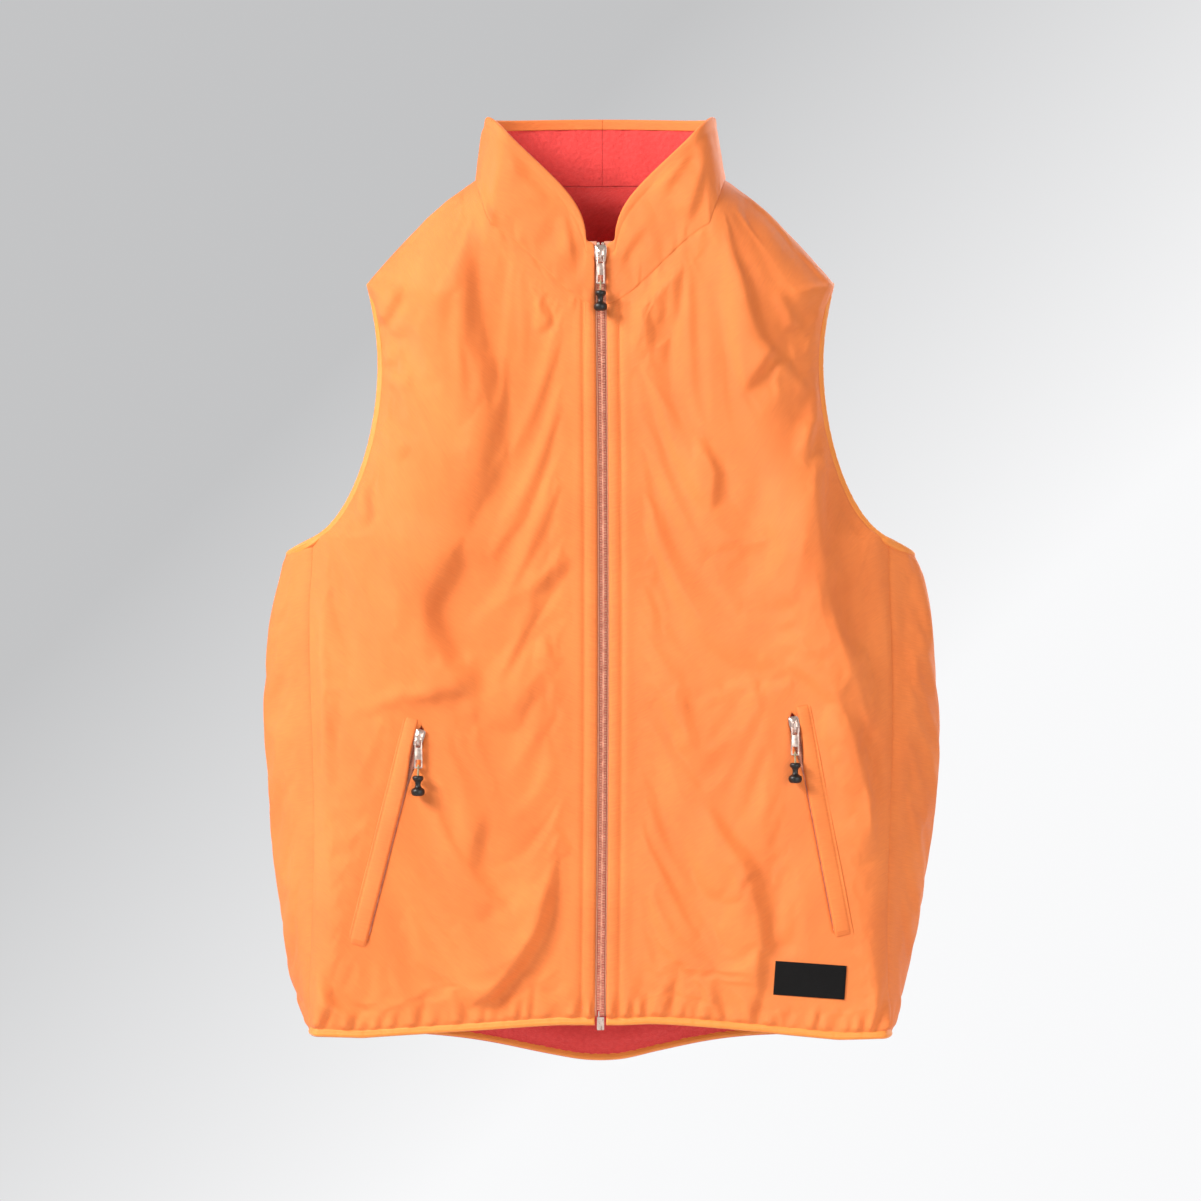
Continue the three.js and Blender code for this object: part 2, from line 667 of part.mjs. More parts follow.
function buildFront(name, side) {
  const group = new THREE.Group();
  const place = (geometry) => (side > 0 ? geometry : flipped(geometry));
  const shellShape = flatFront(mainEdge);
  shellShape.holes.push(pocketSlot(name));
  const liningEdge = mainEdge + 4.2;
  const liningY = -frontDepth + liningFace;
  add(`shell_front_${name}`, place(slab(shellShape, -frontDepth, shellThick)), "shell", group);
  add(`lining_front_${name}`, place(slab(flatFront(liningEdge), liningY, liningThick)), "lining", group);
  const collarShape = flatCollar(mainEdge, collarNotch.x);
  const innerShape = flatCollar(liningEdge, collarNotch.x + 1);
  add(`collar_front_${name}`, place(slab(collarShape, -frontDepth, shellThick, 8)), "shell", group);
  add(`collar_lining_front_${name}`, place(slab(innerShape, liningY, liningThick, 8)), "lining", group);
  const forward = new THREE.Vector3(0, -1, 0);
  const rings = steps(8).map((t) => {
    const x = lerp(mainEdge, foldX(hemFrontSide + bindWide) - 2 * GAP, t);
    const point = new THREE.Vector3(x, -frontDepth, hemFrontZ(x));
    return bindingRing(point, forward, new THREE.Vector3(0, 0, -1), fabricDepth, 0);
  });
  add(`hem_binding_front_${name}`, place(skin(rings, false)), "binding", group);
  vest.add(group);
}

// A mirror image across the mid-plane, with its faces still pointing out.
function flipped(geometry) {
  const bare = geometry.index ? geometry.toNonIndexed() : geometry.clone();
  bare.deleteAttribute("normal");
  bare.deleteAttribute("uv");
  const p = bare.attributes.position;
  const points = Array.from({ length: p.count }, (_, i) => new THREE.Vector3(-p.getX(i), p.getY(i), p.getZ(i)));
  for (let i = 0; i < points.length; i += 3) [points[i + 1], points[i + 2]] = [points[i + 2], points[i + 1]];
  return new THREE.BufferGeometry().setFromPoints(points);
}

// ---- Bindings ----
// One section of edging on an edge point: out is the cloth's outward normal, off points off the edge, and
// depth is the cloth's. A section grown by some play cuts the room that the edging takes.
function bindingRing(point, out, off, depth, play) {
  const middle = point.clone().addScaledVector(out, -depth / 2).addScaledVector(off, -bindWide / 2);
  const halfThick = depth / 2 + bindWall + play;
  const halfWide = bindWide / 2 + play;
  const corner = (a, b) => middle.clone().addScaledVector(out, a).addScaledVector(off, b);
  return [
    [1, 1],
    [-1, 1],
    [-1, -1],
    [1, -1],
  ].flatMap(([a, b]) => {
    const late = corner(a * halfThick, b * (halfWide - bindChamfer));
    const soon = corner(a * (halfThick - bindChamfer), b * halfWide);
    return a * b > 0 ? [late, soon] : [soon, late];
  });
}

// Sections along a line of edge points with their outward normals.
function bindingAlong({ points, normals }, closed, play = 0) {
  const rings = points.map((p, i) => {
    const before = points[closed ? (i + points.length - 1) % points.length : Math.max(0, i - 1)];
    const after = points[closed ? (i + 1) % points.length : Math.min(points.length - 1, i + 1)];
    const along = after.clone().sub(before).normalize();
    const out = normals[i].clone().addScaledVector(along, -normals[i].dot(along)).normalize();
    return bindingRing(p, out, out.clone().cross(along), edgeDepth, play);
  });
  return skin(rings, closed);
}

// The armhole's edge, from the shoulder tip down its front, under the arm and up its back.
function armholeLoop() {
  const points = [];
  const normals = [];
  const tipNormal = new THREE.Vector3(0.69, 0, 0.72);
  const edge = (facing, t) => {
    points.push(panelEdge(lerp(shoulderEnd, armholeEnd, t), facing));
    const flat = new THREE.Vector3(0.25, facing * 0.97, 0);
    normals.push(tipNormal.clone().lerp(flat, smoothstep(t, 0, 0.2)).normalize());
  };
  const shares = [0.03, 0.1, 0.2, 0.35, 0.5, 0.65, 0.8, 0.92];
  edge(-1, 0);
  shares.forEach((t) => edge(-1, t));
  steps(6).forEach((u) => {
    points.push(sidePanel(u, 0));
    const round = 2 * u - 1;
    normals.push(new THREE.Vector3(1 - 0.6 * round ** 2, 0.9 * round, 0).normalize());
  });
  shares.reverse().forEach((t) => edge(1, t));
  return { points, normals };
}

// The hem from the right fold line round the back to the left one.
function hemLoop() {
  const half = [];
  const front = frontOuter;
  steps(3).forEach((t) => half.push([front(0.02 + 0.98 * t, 1), outward(front, 0.02 + 0.98 * t, 1)]));
  steps(6)
    .slice(1)
    .forEach((t) => half.push([sidePanel(t, 1), outward(sidePanel, t, 1)]));
  const across = steps(16).map((t) => Math.sin((0.5 - t) * Math.PI));
  const rear = across.slice(1, -1).map((a) => [backAt(a, 1), outward(back, (a + 1) / 2, 1)]);
  const other = half
    .slice()
    .reverse()
    .map(([p, n]) => [p.clone().setX(-p.x), n.clone().setX(-n.x)]);
  const all = [...half, ...rear, ...other].reverse();
  return { points: all.map(([p]) => p), normals: all.map(([, n]) => n) };
}

// ---- Curved panels that stay put ----
// How deep a layer lies: its full depth at the fold line, and close to its neighbour away from it.
const easing = (layer) => (share) => lerp(layer.deep, layer.close, smoothstep(share, 0, 0.7));
const layers = {
  shell: { deep: 0, close: 0, thick: shellThick },
  lining: { deep: liningFace, close: shellThick + GAP, thick: liningThick },
};
const panelRows = [0, 0.07, 0.14, 0.2, 0.23, 0.28, 0.35, 0.43, 0.5, 0.55, 0.64, 0.76, 0.88, 1];
const acrossBack = steps(12).map((t) => (Math.sin((t - 0.5) * Math.PI) + 1) / 2);

// Each panel as a solid, larger all round by some play where it serves as a cutter.
function frontPanel(layer, play) {
  const deep = (u) => easing(layer)(u) - play;
  const insets = { start: GAP / 2, finish: -play, top: GAP / 2, bottom: hemEdge + GAP - play };
  return toSolid(sheet(frontOuter, crowded(5), panelRows, deep, layer.thick + 2 * play, insets));
}

function backPanel(layer, play) {
  const insets = { start: -play, finish: -play, top: GAP / 2, bottom: hemEdge - play };
  const deep = () => layer.close - play;
  return toSolid(sheet(back, acrossBack, panelRows, deep, layer.thick + 2 * play, insets));
}

function sidePiece(layer, play) {
  const insets = { start: -play, finish: -play, top: 0, bottom: hemEdge - play };
  const deep = () => layer.close - play;
  return toSolid(sheet(sidePanel, steps(8), steps(9), deep, layer.thick + 2 * play, insets));
}

function collarPanel(layer) {
  const insets = { start: GAP / 2, finish: GAP / 2, top: 0, bottom: GAP };
  const deep = (u) => lerp(layer.close, layer.deep, smoothstep(Math.abs(2 * u - 1), 0.8, 1));
  return sheet(collarBand, steps(24), steps(2), deep, layer.thick, insets);
}

// Everything beyond the mid-plane on one side: the fronts end there at the shoulder, and so does the back.
function beyondMiddle(facing) {
  const reach = 1200;
  const block = new THREE.BoxGeometry(reach, reach, 2 * reach);
  block.translate(0, (facing * (reach - GAP)) / 2, 0);
  return toSolid(block);
}

function buildPanels() {
  const channel = bindingAlong(armholeLoop(), true, GAP);
  const channels = [toSolid(channel), toSolid(flipped(channel))];
  const hemChannel = toSolid(bindingAlong(hemLoop(), false, GAP));
  const shellSide = sidePiece(layers.shell, GAP);
  const sides = { shell: [], lining: [shellSide, toSolid(flipped(toGeometry(shellSide)))] };
  const neighbours = Object.values(layers).flatMap((layer) => [frontPanel(layer, GAP), backPanel(layer, GAP)]);
  for (const [kind, layer] of Object.entries(layers)) {
    const front = cut(frontPanel(layer, 0), [channels[0], hemChannel, beyondMiddle(1), ...sides[kind]]);
    const side = cut(sidePiece(layer, 0), [channels[0], hemChannel, ...neighbours]);
    add(`${kind}_front_outer_left`, front, kind);
    add(`${kind}_front_outer_right`, flipped(front), kind);
    add(`${kind}_side_left`, side, kind);
    add(`${kind}_side_right`, flipped(side), kind);
    const rear = cut(backPanel(layer, 0), [...channels, hemChannel, beyondMiddle(-1), ...sides[kind]]);
    add(`${kind}_back`, rear, kind);
    add(kind === "shell" ? "collar_shell" : "collar_lining", collarPanel(layer), kind);
  }
}

function buildBindings() {
  const loop = bindingAlong(armholeLoop(), true);
  add("armhole_binding_left", loop, "binding");
  add("armhole_binding_right", flipped(loop), "binding");
  add("hem_binding_back", bindingAlong(hemLoop(), false), "binding");
}

function buildLabel() {
  const shape = rectangle(-label.width / 2, label.width / 2, -label.height / 2, label.height / 2);
  const patch = add("hem_label", slab(shape, 0, labelThick), "label");
  patch.position.set(label.x, -frontDepth - GAP - labelThick, label.z);
  patch.rotation.y = -degToRad(label.turn);
}

buildFront("left", 1);
buildFront("right", -1);
buildPanels();
buildBindings();
buildMainZip();
buildPocket("left", 1);
buildPocket("right", -1);
buildLabel();

export default vest;
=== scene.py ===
"""A blaze orange outdoor vest: woven shell, fleece lining, elastic edging, coil zips and pull cords."""

import json
import math

import bmesh
import bpy
import numpy as np
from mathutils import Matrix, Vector

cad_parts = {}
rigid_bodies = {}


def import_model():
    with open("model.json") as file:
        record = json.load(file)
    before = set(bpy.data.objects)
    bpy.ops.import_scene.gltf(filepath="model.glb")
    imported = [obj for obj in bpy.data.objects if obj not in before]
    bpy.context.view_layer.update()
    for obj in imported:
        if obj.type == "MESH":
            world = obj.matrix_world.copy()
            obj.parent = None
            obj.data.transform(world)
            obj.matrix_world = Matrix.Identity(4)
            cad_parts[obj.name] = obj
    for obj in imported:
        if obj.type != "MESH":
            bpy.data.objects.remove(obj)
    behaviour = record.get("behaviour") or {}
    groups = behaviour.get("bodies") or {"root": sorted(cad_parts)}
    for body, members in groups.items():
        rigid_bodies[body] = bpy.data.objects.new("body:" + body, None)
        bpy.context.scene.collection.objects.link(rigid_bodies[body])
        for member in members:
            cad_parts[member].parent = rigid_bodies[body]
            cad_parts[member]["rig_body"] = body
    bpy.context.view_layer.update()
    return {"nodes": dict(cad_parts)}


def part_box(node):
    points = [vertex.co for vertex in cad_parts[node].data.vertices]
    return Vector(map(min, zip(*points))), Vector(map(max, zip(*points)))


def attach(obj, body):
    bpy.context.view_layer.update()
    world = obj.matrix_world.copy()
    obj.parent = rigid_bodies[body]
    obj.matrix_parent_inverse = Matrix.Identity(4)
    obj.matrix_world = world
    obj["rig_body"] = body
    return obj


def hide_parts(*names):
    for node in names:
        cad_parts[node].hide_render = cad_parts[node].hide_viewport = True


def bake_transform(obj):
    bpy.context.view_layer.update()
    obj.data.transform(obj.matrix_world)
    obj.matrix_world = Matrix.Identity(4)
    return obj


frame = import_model()

# Lengths are in millimetres up to the point where a mesh is made.
MM = 0.001

# ---- Camera and light ----
FRONT_DEPTH = -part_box("shell_front_left")[0].y / MM
VIEW_SPAN = 1009.0  # width of the view at the vest's front
VIEW_CENTRE_Z = -345.0
VIEW_DISTANCE = 3000.0
SENSOR = 36.0


def make_camera():
    data = bpy.data.cameras.new("camera")
    data.sensor_width = SENSOR
    data.lens = SENSOR * VIEW_DISTANCE / VIEW_SPAN
    camera = bpy.data.objects.new("camera", data)
    camera.location = (0, -(FRONT_DEPTH + VIEW_DISTANCE) * MM, VIEW_CENTRE_Z * MM)
    camera.rotation_euler = (math.radians(90), 0, 0)
    bpy.context.scene.collection.objects.link(camera)
    bpy.context.scene.camera = camera


def area_light(name, place, target, size, power, color=(1, 1, 1)):
    data = bpy.data.lights.new(name, "AREA")
    data.shape = "RECTANGLE"
    data.size, data.size_y = size
    data.energy = power
    data.color = color
    light = bpy.data.objects.new(name, data)
    light.location = place
    light.rotation_euler = (Vector(target) - Vector(place)).to_track_quat("-Z", "Y").to_euler()
    bpy.context.scene.collection.objects.link(light)


def make_studio():
    middle = (0, 0, VIEW_CENTRE_Z * MM)
    area_light("key", (-2.5, -1.6, 1.35), middle, (1.2, 1.2), 184)
    area_light("fill", (1.7, -2.8, -0.2), middle, (2.4, 2.4), 58)
    area_light("behind", (1.4, 2.8, 0.8), middle, (2.2, 2.2), 70)
    world = bpy.data.worlds.new("studio")
    bpy.context.scene.world = world
    world.use_nodes = True
    nodes, links = world.node_tree.nodes, world.node_tree.links
    background = nodes["Background"]
    coords = nodes.new("ShaderNodeTexCoord")
    split = nodes.new("ShaderNodeSeparateXYZ")
    slope = nodes.new("ShaderNodeMath")
    slope.operation = "SUBTRACT"
    ramp = nodes.new("ShaderNodeValToRGB")
    ramp.color_ramp.elements[0].position = 0.36
    ramp.color_ramp.elements[0].color = (0.55, 0.553, 0.56, 1)
    ramp.color_ramp.elements[1].position = 0.62
    ramp.color_ramp.elements[1].color = (0.95, 0.952, 0.96, 1)
    shift = nodes.new("ShaderNodeMath")
    shift.operation = "ADD"
    shift.inputs[1].default_value = 0.5
    links.new(coords.outputs["Generated"], split.inputs[0])
    links.new(split.outputs["X"], slope.inputs[0])
    links.new(split.outputs["Z"], slope.inputs[1])
    links.new(slope.outputs[0], shift.inputs[0])
    links.new(shift.outputs[0], ramp.inputs[0])
    # The half of the room behind the camera is dimmer, so that the key light models the folds.
    dim = nodes.new("ShaderNodeMapRange")
    dim.inputs["From Min"].default_value = -0.2
    dim.inputs["From Max"].default_value = 0.4
    dim.inputs["To Min"].default_value = 0.36
    dim.inputs["To Max"].default_value = 1.0
    links.new(split.outputs["Y"], dim.inputs["Value"])
    mixed = nodes.new("ShaderNodeVectorMath")
    mixed.operation = "SCALE"
    links.new(ramp.outputs[0], mixed.inputs[0])
    links.new(dim.outputs[0], mixed.inputs["Scale"])
    links.new(mixed.outputs[0], background.inputs["Color"])
    background.inputs["Strength"].default_value = 1.0
    bpy.context.scene.view_settings.view_transform = "Standard"


# ---- Materials ----
def linear(r, g, b):
    """A colour as the eye reads it, 0 to 255, in the linear values that a shader takes."""
    return tuple(((c / 255 + 0.055) / 1.055) ** 2.4 if c > 10 else c / 255 / 12.92 for c in (r, g, b)) + (1,)


class Shader:
    """A material with a principled shader, and short ways to add nodes to it."""

    def __init__(self, name, base, rough, metal=0.0, sheen=0.0, sheen_rough=0.5):
        self.material = bpy.data.materials.new(name)
        self.material.use_nodes = True
        self.nodes = self.material.node_tree.nodes
        self.links = self.material.node_tree.links
        self.surface = self.nodes["Principled BSDF"]
        self.surface.inputs["Base Color"].default_value = base
        self.surface.inputs["Roughness"].default_value = rough
        self.surface.inputs["Metallic"].default_value = metal
        self.surface.inputs["Sheen Weight"].default_value = sheen
        self.surface.inputs["Sheen Roughness"].default_value = sheen_rough

    def add(self, kind, **settings):
        node = self.nodes.new("ShaderNode" + kind)
        for key, value in settings.items():
            setattr(node, key, value)
        return node

    def place(self, scale, flat=True):
        """Coordinates in metres times scale: along the cloth when flat, or in space."""
        mapping = self.add("Mapping")
        mapping.inputs["Scale"].default_value = scale
        if flat:
            source = self.add("UVMap", uv_map="cloth").outputs[0]
        else:
            source = self.add("TexCoord").outputs["Object"]
        self.links.new(source, mapping.inputs[0])
        return mapping.outputs[0]

    def noise(self, scale, detail=3.0, flat=True, stretch=(1, 1, 1)):
        node = self.add("TexNoise")
        node.inputs["Scale"].default_value = 1.0
        node.inputs["Detail"].default_value = detail
        self.links.new(self.place([scale * s for s in stretch], flat), node.inputs["Vector"])
        return node.outputs["Fac"]

    def threads(self, period, direction):
        """Ribs of one thread's width, period in millimetres."""
        node = self.add("TexWave", wave_type="BANDS", bands_direction=direction)
        node.inputs["Scale"].default_value = 1.0
        node.inputs["Distortion"].default_value = 0.6
        node.inputs["Detail"].default_value = 1.0
        scale = 1000 * math.pi / 10 / period
        self.links.new(self.place([scale] * 3), node.inputs["Vector"])
        return node.outputs["Fac"]

    def calc(self, kind, a, b):
        node = self.add("Math", operation=kind)
        for socket, value in zip(node.inputs, (a, b)):
            if isinstance(value, (int, float)):
                socket.default_value = value
            else:
                self.links.new(value, socket)
        return node.outputs[0]

    def spread(self, value, low, high):
        """The value mapped so that 0.3 to 0.7 becomes low to high."""
        node = self.add("MapRange")
        node.inputs["From Min"].default_value = 0.3
        node.inputs["From Max"].default_value = 0.7
        node.inputs["To Min"].default_value = low
        node.inputs["To Max"].default_value = high
        self.links.new(value, node.inputs["Value"])
        return node.outputs[0]

    def tint(self, value, dark, light):
        """Mixes the base colour from dark to light by a value."""
        node = self.add("Mix", data_type="RGBA")
        node.inputs["A"].default_value = dark
        node.inputs["B"].default_value = light
        self.links.new(value, node.inputs["Factor"])
        self.links.new(node.outputs["Result"], self.surface.inputs["Base Color"])

    def rough(self, value):
        self.links.new(value, self.surface.inputs["Roughness"])

    def bump(self, value, strength, distance):
        node = self.add("Bump")
        node.inputs["Strength"].default_value = strength
        node.inputs["Distance"].default_value = distance * MM
        self.links.new(value, node.inputs["Height"])
        self.links.new(node.outputs[0], self.surface.inputs["Normal"])


def woven(name, dark, light, period=0.55, bump=0.45, sheen=0.05):
    """Plain weave with slubs, and slow changes of tone."""
    s = Shader(name, light, 0.62, sheen=sheen)
    weave = s.calc("ADD", s.threads(period, "X"), s.threads(period, "Y"))
    slubs = s.noise(900, 4, stretch=(0.12, 1, 1))
    mottle = s.noise(14, 5)
    mixed = s.calc("ADD", s.spread(slubs, 0.0, 0.5), s.spread(mottle, 0.0, 0.5))
    s.tint(s.calc("ADD", mixed, s.calc("MULTIPLY", weave, 0.05)), dark, light)
    s.rough(s.spread(slubs, 0.56, 0.7))
    s.bump(s.calc("ADD", weave, s.calc("MULTIPLY", slubs, 1.5)), bump, 0.25)
    return s.material


def fleece(name, dark, light):
    """Short brushed pile: soft clumps over fine fibres."""
    s = Shader(name, light, 0.95, sheen=0.35, sheen_rough=0.6)
    clumps = s.noise(260, 5)
    fibres = s.noise(1500, 4)
    s.tint(s.spread(s.calc("MULTIPLY", s.calc("ADD", clumps, fibres), 0.5), 0.0, 1.0), dark, light)
    s.bump(s.calc("ADD", clumps, s.calc("MULTIPLY", fibres, 0.5)), 0.9, 1.2)
    return s.material


def knitted(name, dark, light):
    """Elastic edging: fine ribs across its run and a soft shine."""
    s = Shader(name, light, 0.55, sheen=0.2)
    ribs = s.calc("ADD", s.threads(0.9, "X"), s.threads(1.6, "Y"))
    tone = s.noise(40, 4)
    s.tint(s.calc("ADD", s.spread(tone, 0.1, 0.7), s.calc("MULTIPLY", ribs, 0.12)), dark, light)
    s.bump(ribs, 0.4, 0.3)
    return s.material


def nylon(name, dark, light, rough=0.42):
    s = Shader(name, light, rough)
    tone = s.noise(220, 3, flat=False)
    s.tint(s.spread(tone, 0.0, 1.0), dark, light)
    s.rough(s.spread(s.noise(900, 3, flat=False), rough - 0.06, rough + 0.1))
    s.bump(s.noise(2400, 2, flat=False), 0.15, 0.08)
    return s.material


def cast_metal(name, dark, light):
    """Plated zip metal with fine brushing and dulled patches."""
    s = Shader(name, light, 0.3, metal=0.85)
    brushed = s.noise(2600, 3, flat=False, stretch=(1, 1, 0.08))
    patches = s.noise(380, 4, flat=False)
    s.tint(s.spread(patches, 0.0, 1.0), dark, light)
    s.rough(s.spread(s.calc("MULTIPLY", s.calc("ADD", brushed, patches), 0.5), 0.22, 0.46))
    s.bump(brushed, 0.2, 0.05)
    return s.material


def braided(name, dark, light):
    s = Shader(name, light, 0.7, sheen=0.2)
    braid = s.calc("ADD", s.threads(0.8, "X"), s.threads(0.8, "DIAGONAL"))
    s.tint(s.calc("MULTIPLY", braid, 0.5), dark, light)
    s.bump(braid, 0.6, 0.25)
    return s.material


SHELL = woven("shell_cloth", linear(230, 112, 42), linear(247, 135, 60))
LINING = fleece("lining_fleece", linear(218, 44, 40), linear(240, 70, 64))
BINDING = knitted("binding_elastic", linear(238, 132, 40), linear(250, 150, 58))
TAPE = woven("zip_tape_cloth", linear(190, 116, 86), linear(218, 144, 112), period=0.8, bump=0.5)
COIL = nylon("zip_coil_nylon", linear(198, 124, 98), linear(234, 164, 136))
METAL = cast_metal("zip_metal_plated", linear(212, 178, 162), linear(242, 222, 210))
KNOB = nylon("knob_moulded", linear(14, 11, 9), linear(30, 24, 20), rough=0.42)
CORD = braided("cord_braid", linear(120, 104, 72), linear(186, 170, 128))
LABEL = woven("label_satin", linear(6, 5, 5), linear(16, 14, 13), period=0.7, bump=0.6, sheen=0.0)
LABEL.node_tree.nodes["Principled BSDF"].inputs["Specular IOR Level"].default_value = 0.15
THREAD = woven("thread", linear(226, 120, 54), linear(246, 146, 76), period=0.5)


# ---- The vest's form, for the wearer's left (+X); the right side is its mirror image ----
NECK = (107.0, 15.0)
NECK_BACK_Z = 14.0
SHOULDER_TIP = (201.0, -75.0)
SHOULDER_CROWN = 6.0
ARMPIT = (245.0, -291.0)
ARMHOLE_NEAR = (172.0, -158.0)
ARMHOLE_FAR = (205.0, -274.0)
ARMHOLE_HALF = {-1: 26.0, 1: 24.0}
ARMHOLE_CROWN = 0.35
SIDE_TOP = (269.0, -303.0)
HEM_HALF = 248.0
SIDE_BULGE = 28.5
SEAM_X = 245.0
SEAM_DEPTH = {-1: (27.0, 48.0), 1: (25.0, 42.0)}
BACK_DEPTH = 50.0
BACK_NECK_DEPTH = 46.0
HEM_CENTRE = -702.0
HEM_SIDE = {-1: -713.0, 1: -719.0}
HEM_REACH = 200.0
TAIL = 26.0
TAIL_HALF = 90.0
FOLD_TOP = (90.0, -20.0)
FOLD_BOTTOM = (236.0, -711.0)
FOLD_NECK_Z = -28.0
FOLD_COLLAR_Z = 44.0
FOLD_NORMAL = (0.978, 0.207)  # square to the fold line, in X and Z
NECK_SEAM_Z = -96.0
COLLAR_HALF = 99.0
COLLAR_DEPTH = 50.0
COLLAR_SIDE_Z = 66.0
COLLAR_BACK_Z = 71.0
NOTCH = (12.0, -45.0)
SHOULDER_END = 0.2
ARMHOLE_END = 0.55
ZIP_EDGE = 4.8
BIND_WIDE = 7.0
CLOTH_DEPTH = 4.3  # shell and lining together at an edge
BIND_PROUD = 0.8


def lerp(a, b, t):
    return a + (b - a) * t


def smooth(x, low, high):
    t = np.clip((x - low) / (high - low), 0, 1)
    return t * t * (3 - 2 * t)


def bezier(points, t):
    """A cubic curve through points of (x, z)."""
    a, b, c, d = (np.array(p, float) for p in points)
    t = np.asarray(t, float)[..., None]
    return a * (1 - t) ** 3 + 3 * b * t * (1 - t) ** 2 + 3 * c * t * t * (1 - t) + d * t**3


def xyz(x, y, z):
    return np.stack(np.broadcast_arrays(x, y, z), -1).astype(float)


def unit(vectors):
    return vectors / np.linalg.norm(vectors, axis=-1, keepdims=True)


def run_along(line):
    """Each point's distance along a line from its first point."""
    return np.concatenate([[0], np.cumsum(np.linalg.norm(np.diff(line, axis=0), axis=1))])


def values_at(values, run, wanted):
    """What a line's points or normals are at those distances along it."""
    return np.stack([np.interp(wanted, run, values[:, k]) for k in range(3)], -1)


def box_of(node):
    """A CAD node's lowest and highest corner in millimetres."""
    return [np.array(corner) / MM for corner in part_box(node)]


def fold_x(z):
    slope = (FOLD_BOTTOM[0] - FOLD_TOP[0]) / (FOLD_TOP[1] - FOLD_BOTTOM[1])
    return FOLD_TOP[0] + (FOLD_TOP[1] - z) * slope


def hem_front_z(x):
    return lerp(HEM_CENTRE, HEM_SIDE[-1], np.minimum(1, np.abs(x) / HEM_REACH) ** 2)


def stretches(v):
    """How far v has come through the shoulder, the armhole and the side."""
    shoulder = np.clip(v / SHOULDER_END, 0, 1)
    armhole = np.clip((v - SHOULDER_END) / (ARMHOLE_END - SHOULDER_END), 0, 1)
    side = np.clip((v - ARMHOLE_END) / (1 - ARMHOLE_END), 0, 1)
    return shoulder, armhole, side


def levels(v, *heights):
    shoulder, armhole, side = stretches(v)
    a, b, c, d = heights
    return a + (b - a) * shoulder + (c - b) * armhole + (d - c) * side


def panel_edge(v, facing):
    """The outer edge of the front (-1) or the back (1): shoulder, armhole, side seam."""
    v = np.asarray(v, float)
    s, a, d = stretches(v)
    half = ARMHOLE_HALF[facing]
    shoulder = xyz(lerp(NECK[0], SHOULDER_TIP[0], s), 0 * s,
                   lerp(NECK[1], SHOULDER_TIP[1], s) + SHOULDER_CROWN * np.sin(np.pi * s))
    curve = bezier((SHOULDER_TIP, ARMHOLE_NEAR, ARMHOLE_FAR, ARMPIT), a)
    round_off = np.sin(np.minimum(1, a * 1.6) * np.pi / 2) ** ARMHOLE_CROWN
    armhole = xyz(curve[..., 0], facing * half * round_off, curve[..., 1])
    depth = lerp(*SEAM_DEPTH[facing], smooth(d, 0, 0.8))
    side = xyz(lerp(ARMPIT[0], SEAM_X, np.minimum(1, d * 4)),
               facing * lerp(half, depth, np.minimum(1, d * 6)), lerp(ARMPIT[1], HEM_SIDE[facing], d))
    v = v[..., None]
    return np.where(v <= SHOULDER_END, shoulder, np.where(v <= ARMHOLE_END, armhole, side))


def roll(u, v):
    turn = np.where(v < SHOULDER_END, 1.0, lerp(1, 0.75, smooth(v, SHOULDER_END, SHOULDER_END + 0.12)))
    return (1 - np.sqrt(np.clip(1 - (turn * u) ** 2, 0, 1))) / (1 - np.sqrt(1 - turn**2))


def fold_z(v):
    return levels(v, FOLD_NECK_Z, -95.0, ARMPIT[1], HEM_SIDE[-1])


def front_outer(u, v):
    z = fold_z(v)
    edge = panel_edge(v, -1)
    return xyz(lerp(fold_x(z), edge[..., 0], u), lerp(-FRONT_DEPTH, edge[..., 1], roll(u, v)),
               lerp(z, edge[..., 2], u))


def back_at(across, v):
    z = levels(v, NECK_BACK_Z, -70.0, -300.0, HEM_SIDE[1] - TAIL)
    edge = panel_edge(v, 1)
    depth = lerp(BACK_NECK_DEPTH, BACK_DEPTH, smooth(v, 0, ARMHOLE_END))
    x = across * edge[..., 0]
    share = np.abs(across)
    tail = np.exp(-((x / TAIL_HALF) ** 2)) * (1 - smooth(share, 0.85, 1))
    return xyz(x, lerp(depth, edge[..., 1], roll(share, v)), lerp(edge[..., 2], z, tail))


def side_panel(u, v):
    turn = 2 * u - 1
    top = lerp(SIDE_TOP[1], ARMPIT[1], turn**2)
    bottom = lerp(HEM_SIDE[-1], HEM_SIDE[1], u)
    half = lerp(SIDE_TOP[0], HEM_HALF, v) + SIDE_BULGE * np.clip(np.sin(np.pi * v), 0, 1) ** 0.8
    along = lerp(ARMHOLE_END, 1, v)
    seam = np.where((turn < 0)[..., None], panel_edge(along, -1), panel_edge(along, 1))
    share = np.abs(turn)
    return xyz(lerp(half, seam[..., 0], share**2.2), share * seam[..., 1], lerp(top, bottom, v))


def collar_band(t, h):
    """Behind the fold line: t = 0 at the back's middle and 1 at the fold line, h = 0 at the seam."""
    across = np.sin(t * np.pi)
    lean = np.cos(t * np.pi)
    rear = (t <= 0.5)[..., None]
    low = np.where(rear, back_at(across, 0 * t), front_outer(across, 0 * t))
    rear_top = xyz(COLLAR_HALF * across, COLLAR_DEPTH * lean, lerp(COLLAR_BACK_Z, COLLAR_SIDE_Z, across**2))
    fore_top = xyz(lerp(fold_x(FOLD_COLLAR_Z), COLLAR_HALF, across), FRONT_DEPTH * lean,
                   lerp(FOLD_COLLAR_Z, COLLAR_SIDE_Z, across))
    return lerp(low, np.where(rear, rear_top, fore_top), h[..., None])


def neck_seam(p, edge):
    points = ((edge, NECK_SEAM_Z), (30, NECK_SEAM_Z + 4), (60, FOLD_NECK_Z - 16),
              (fold_x(FOLD_NECK_Z), FOLD_NECK_Z))
    return bezier(points, p)


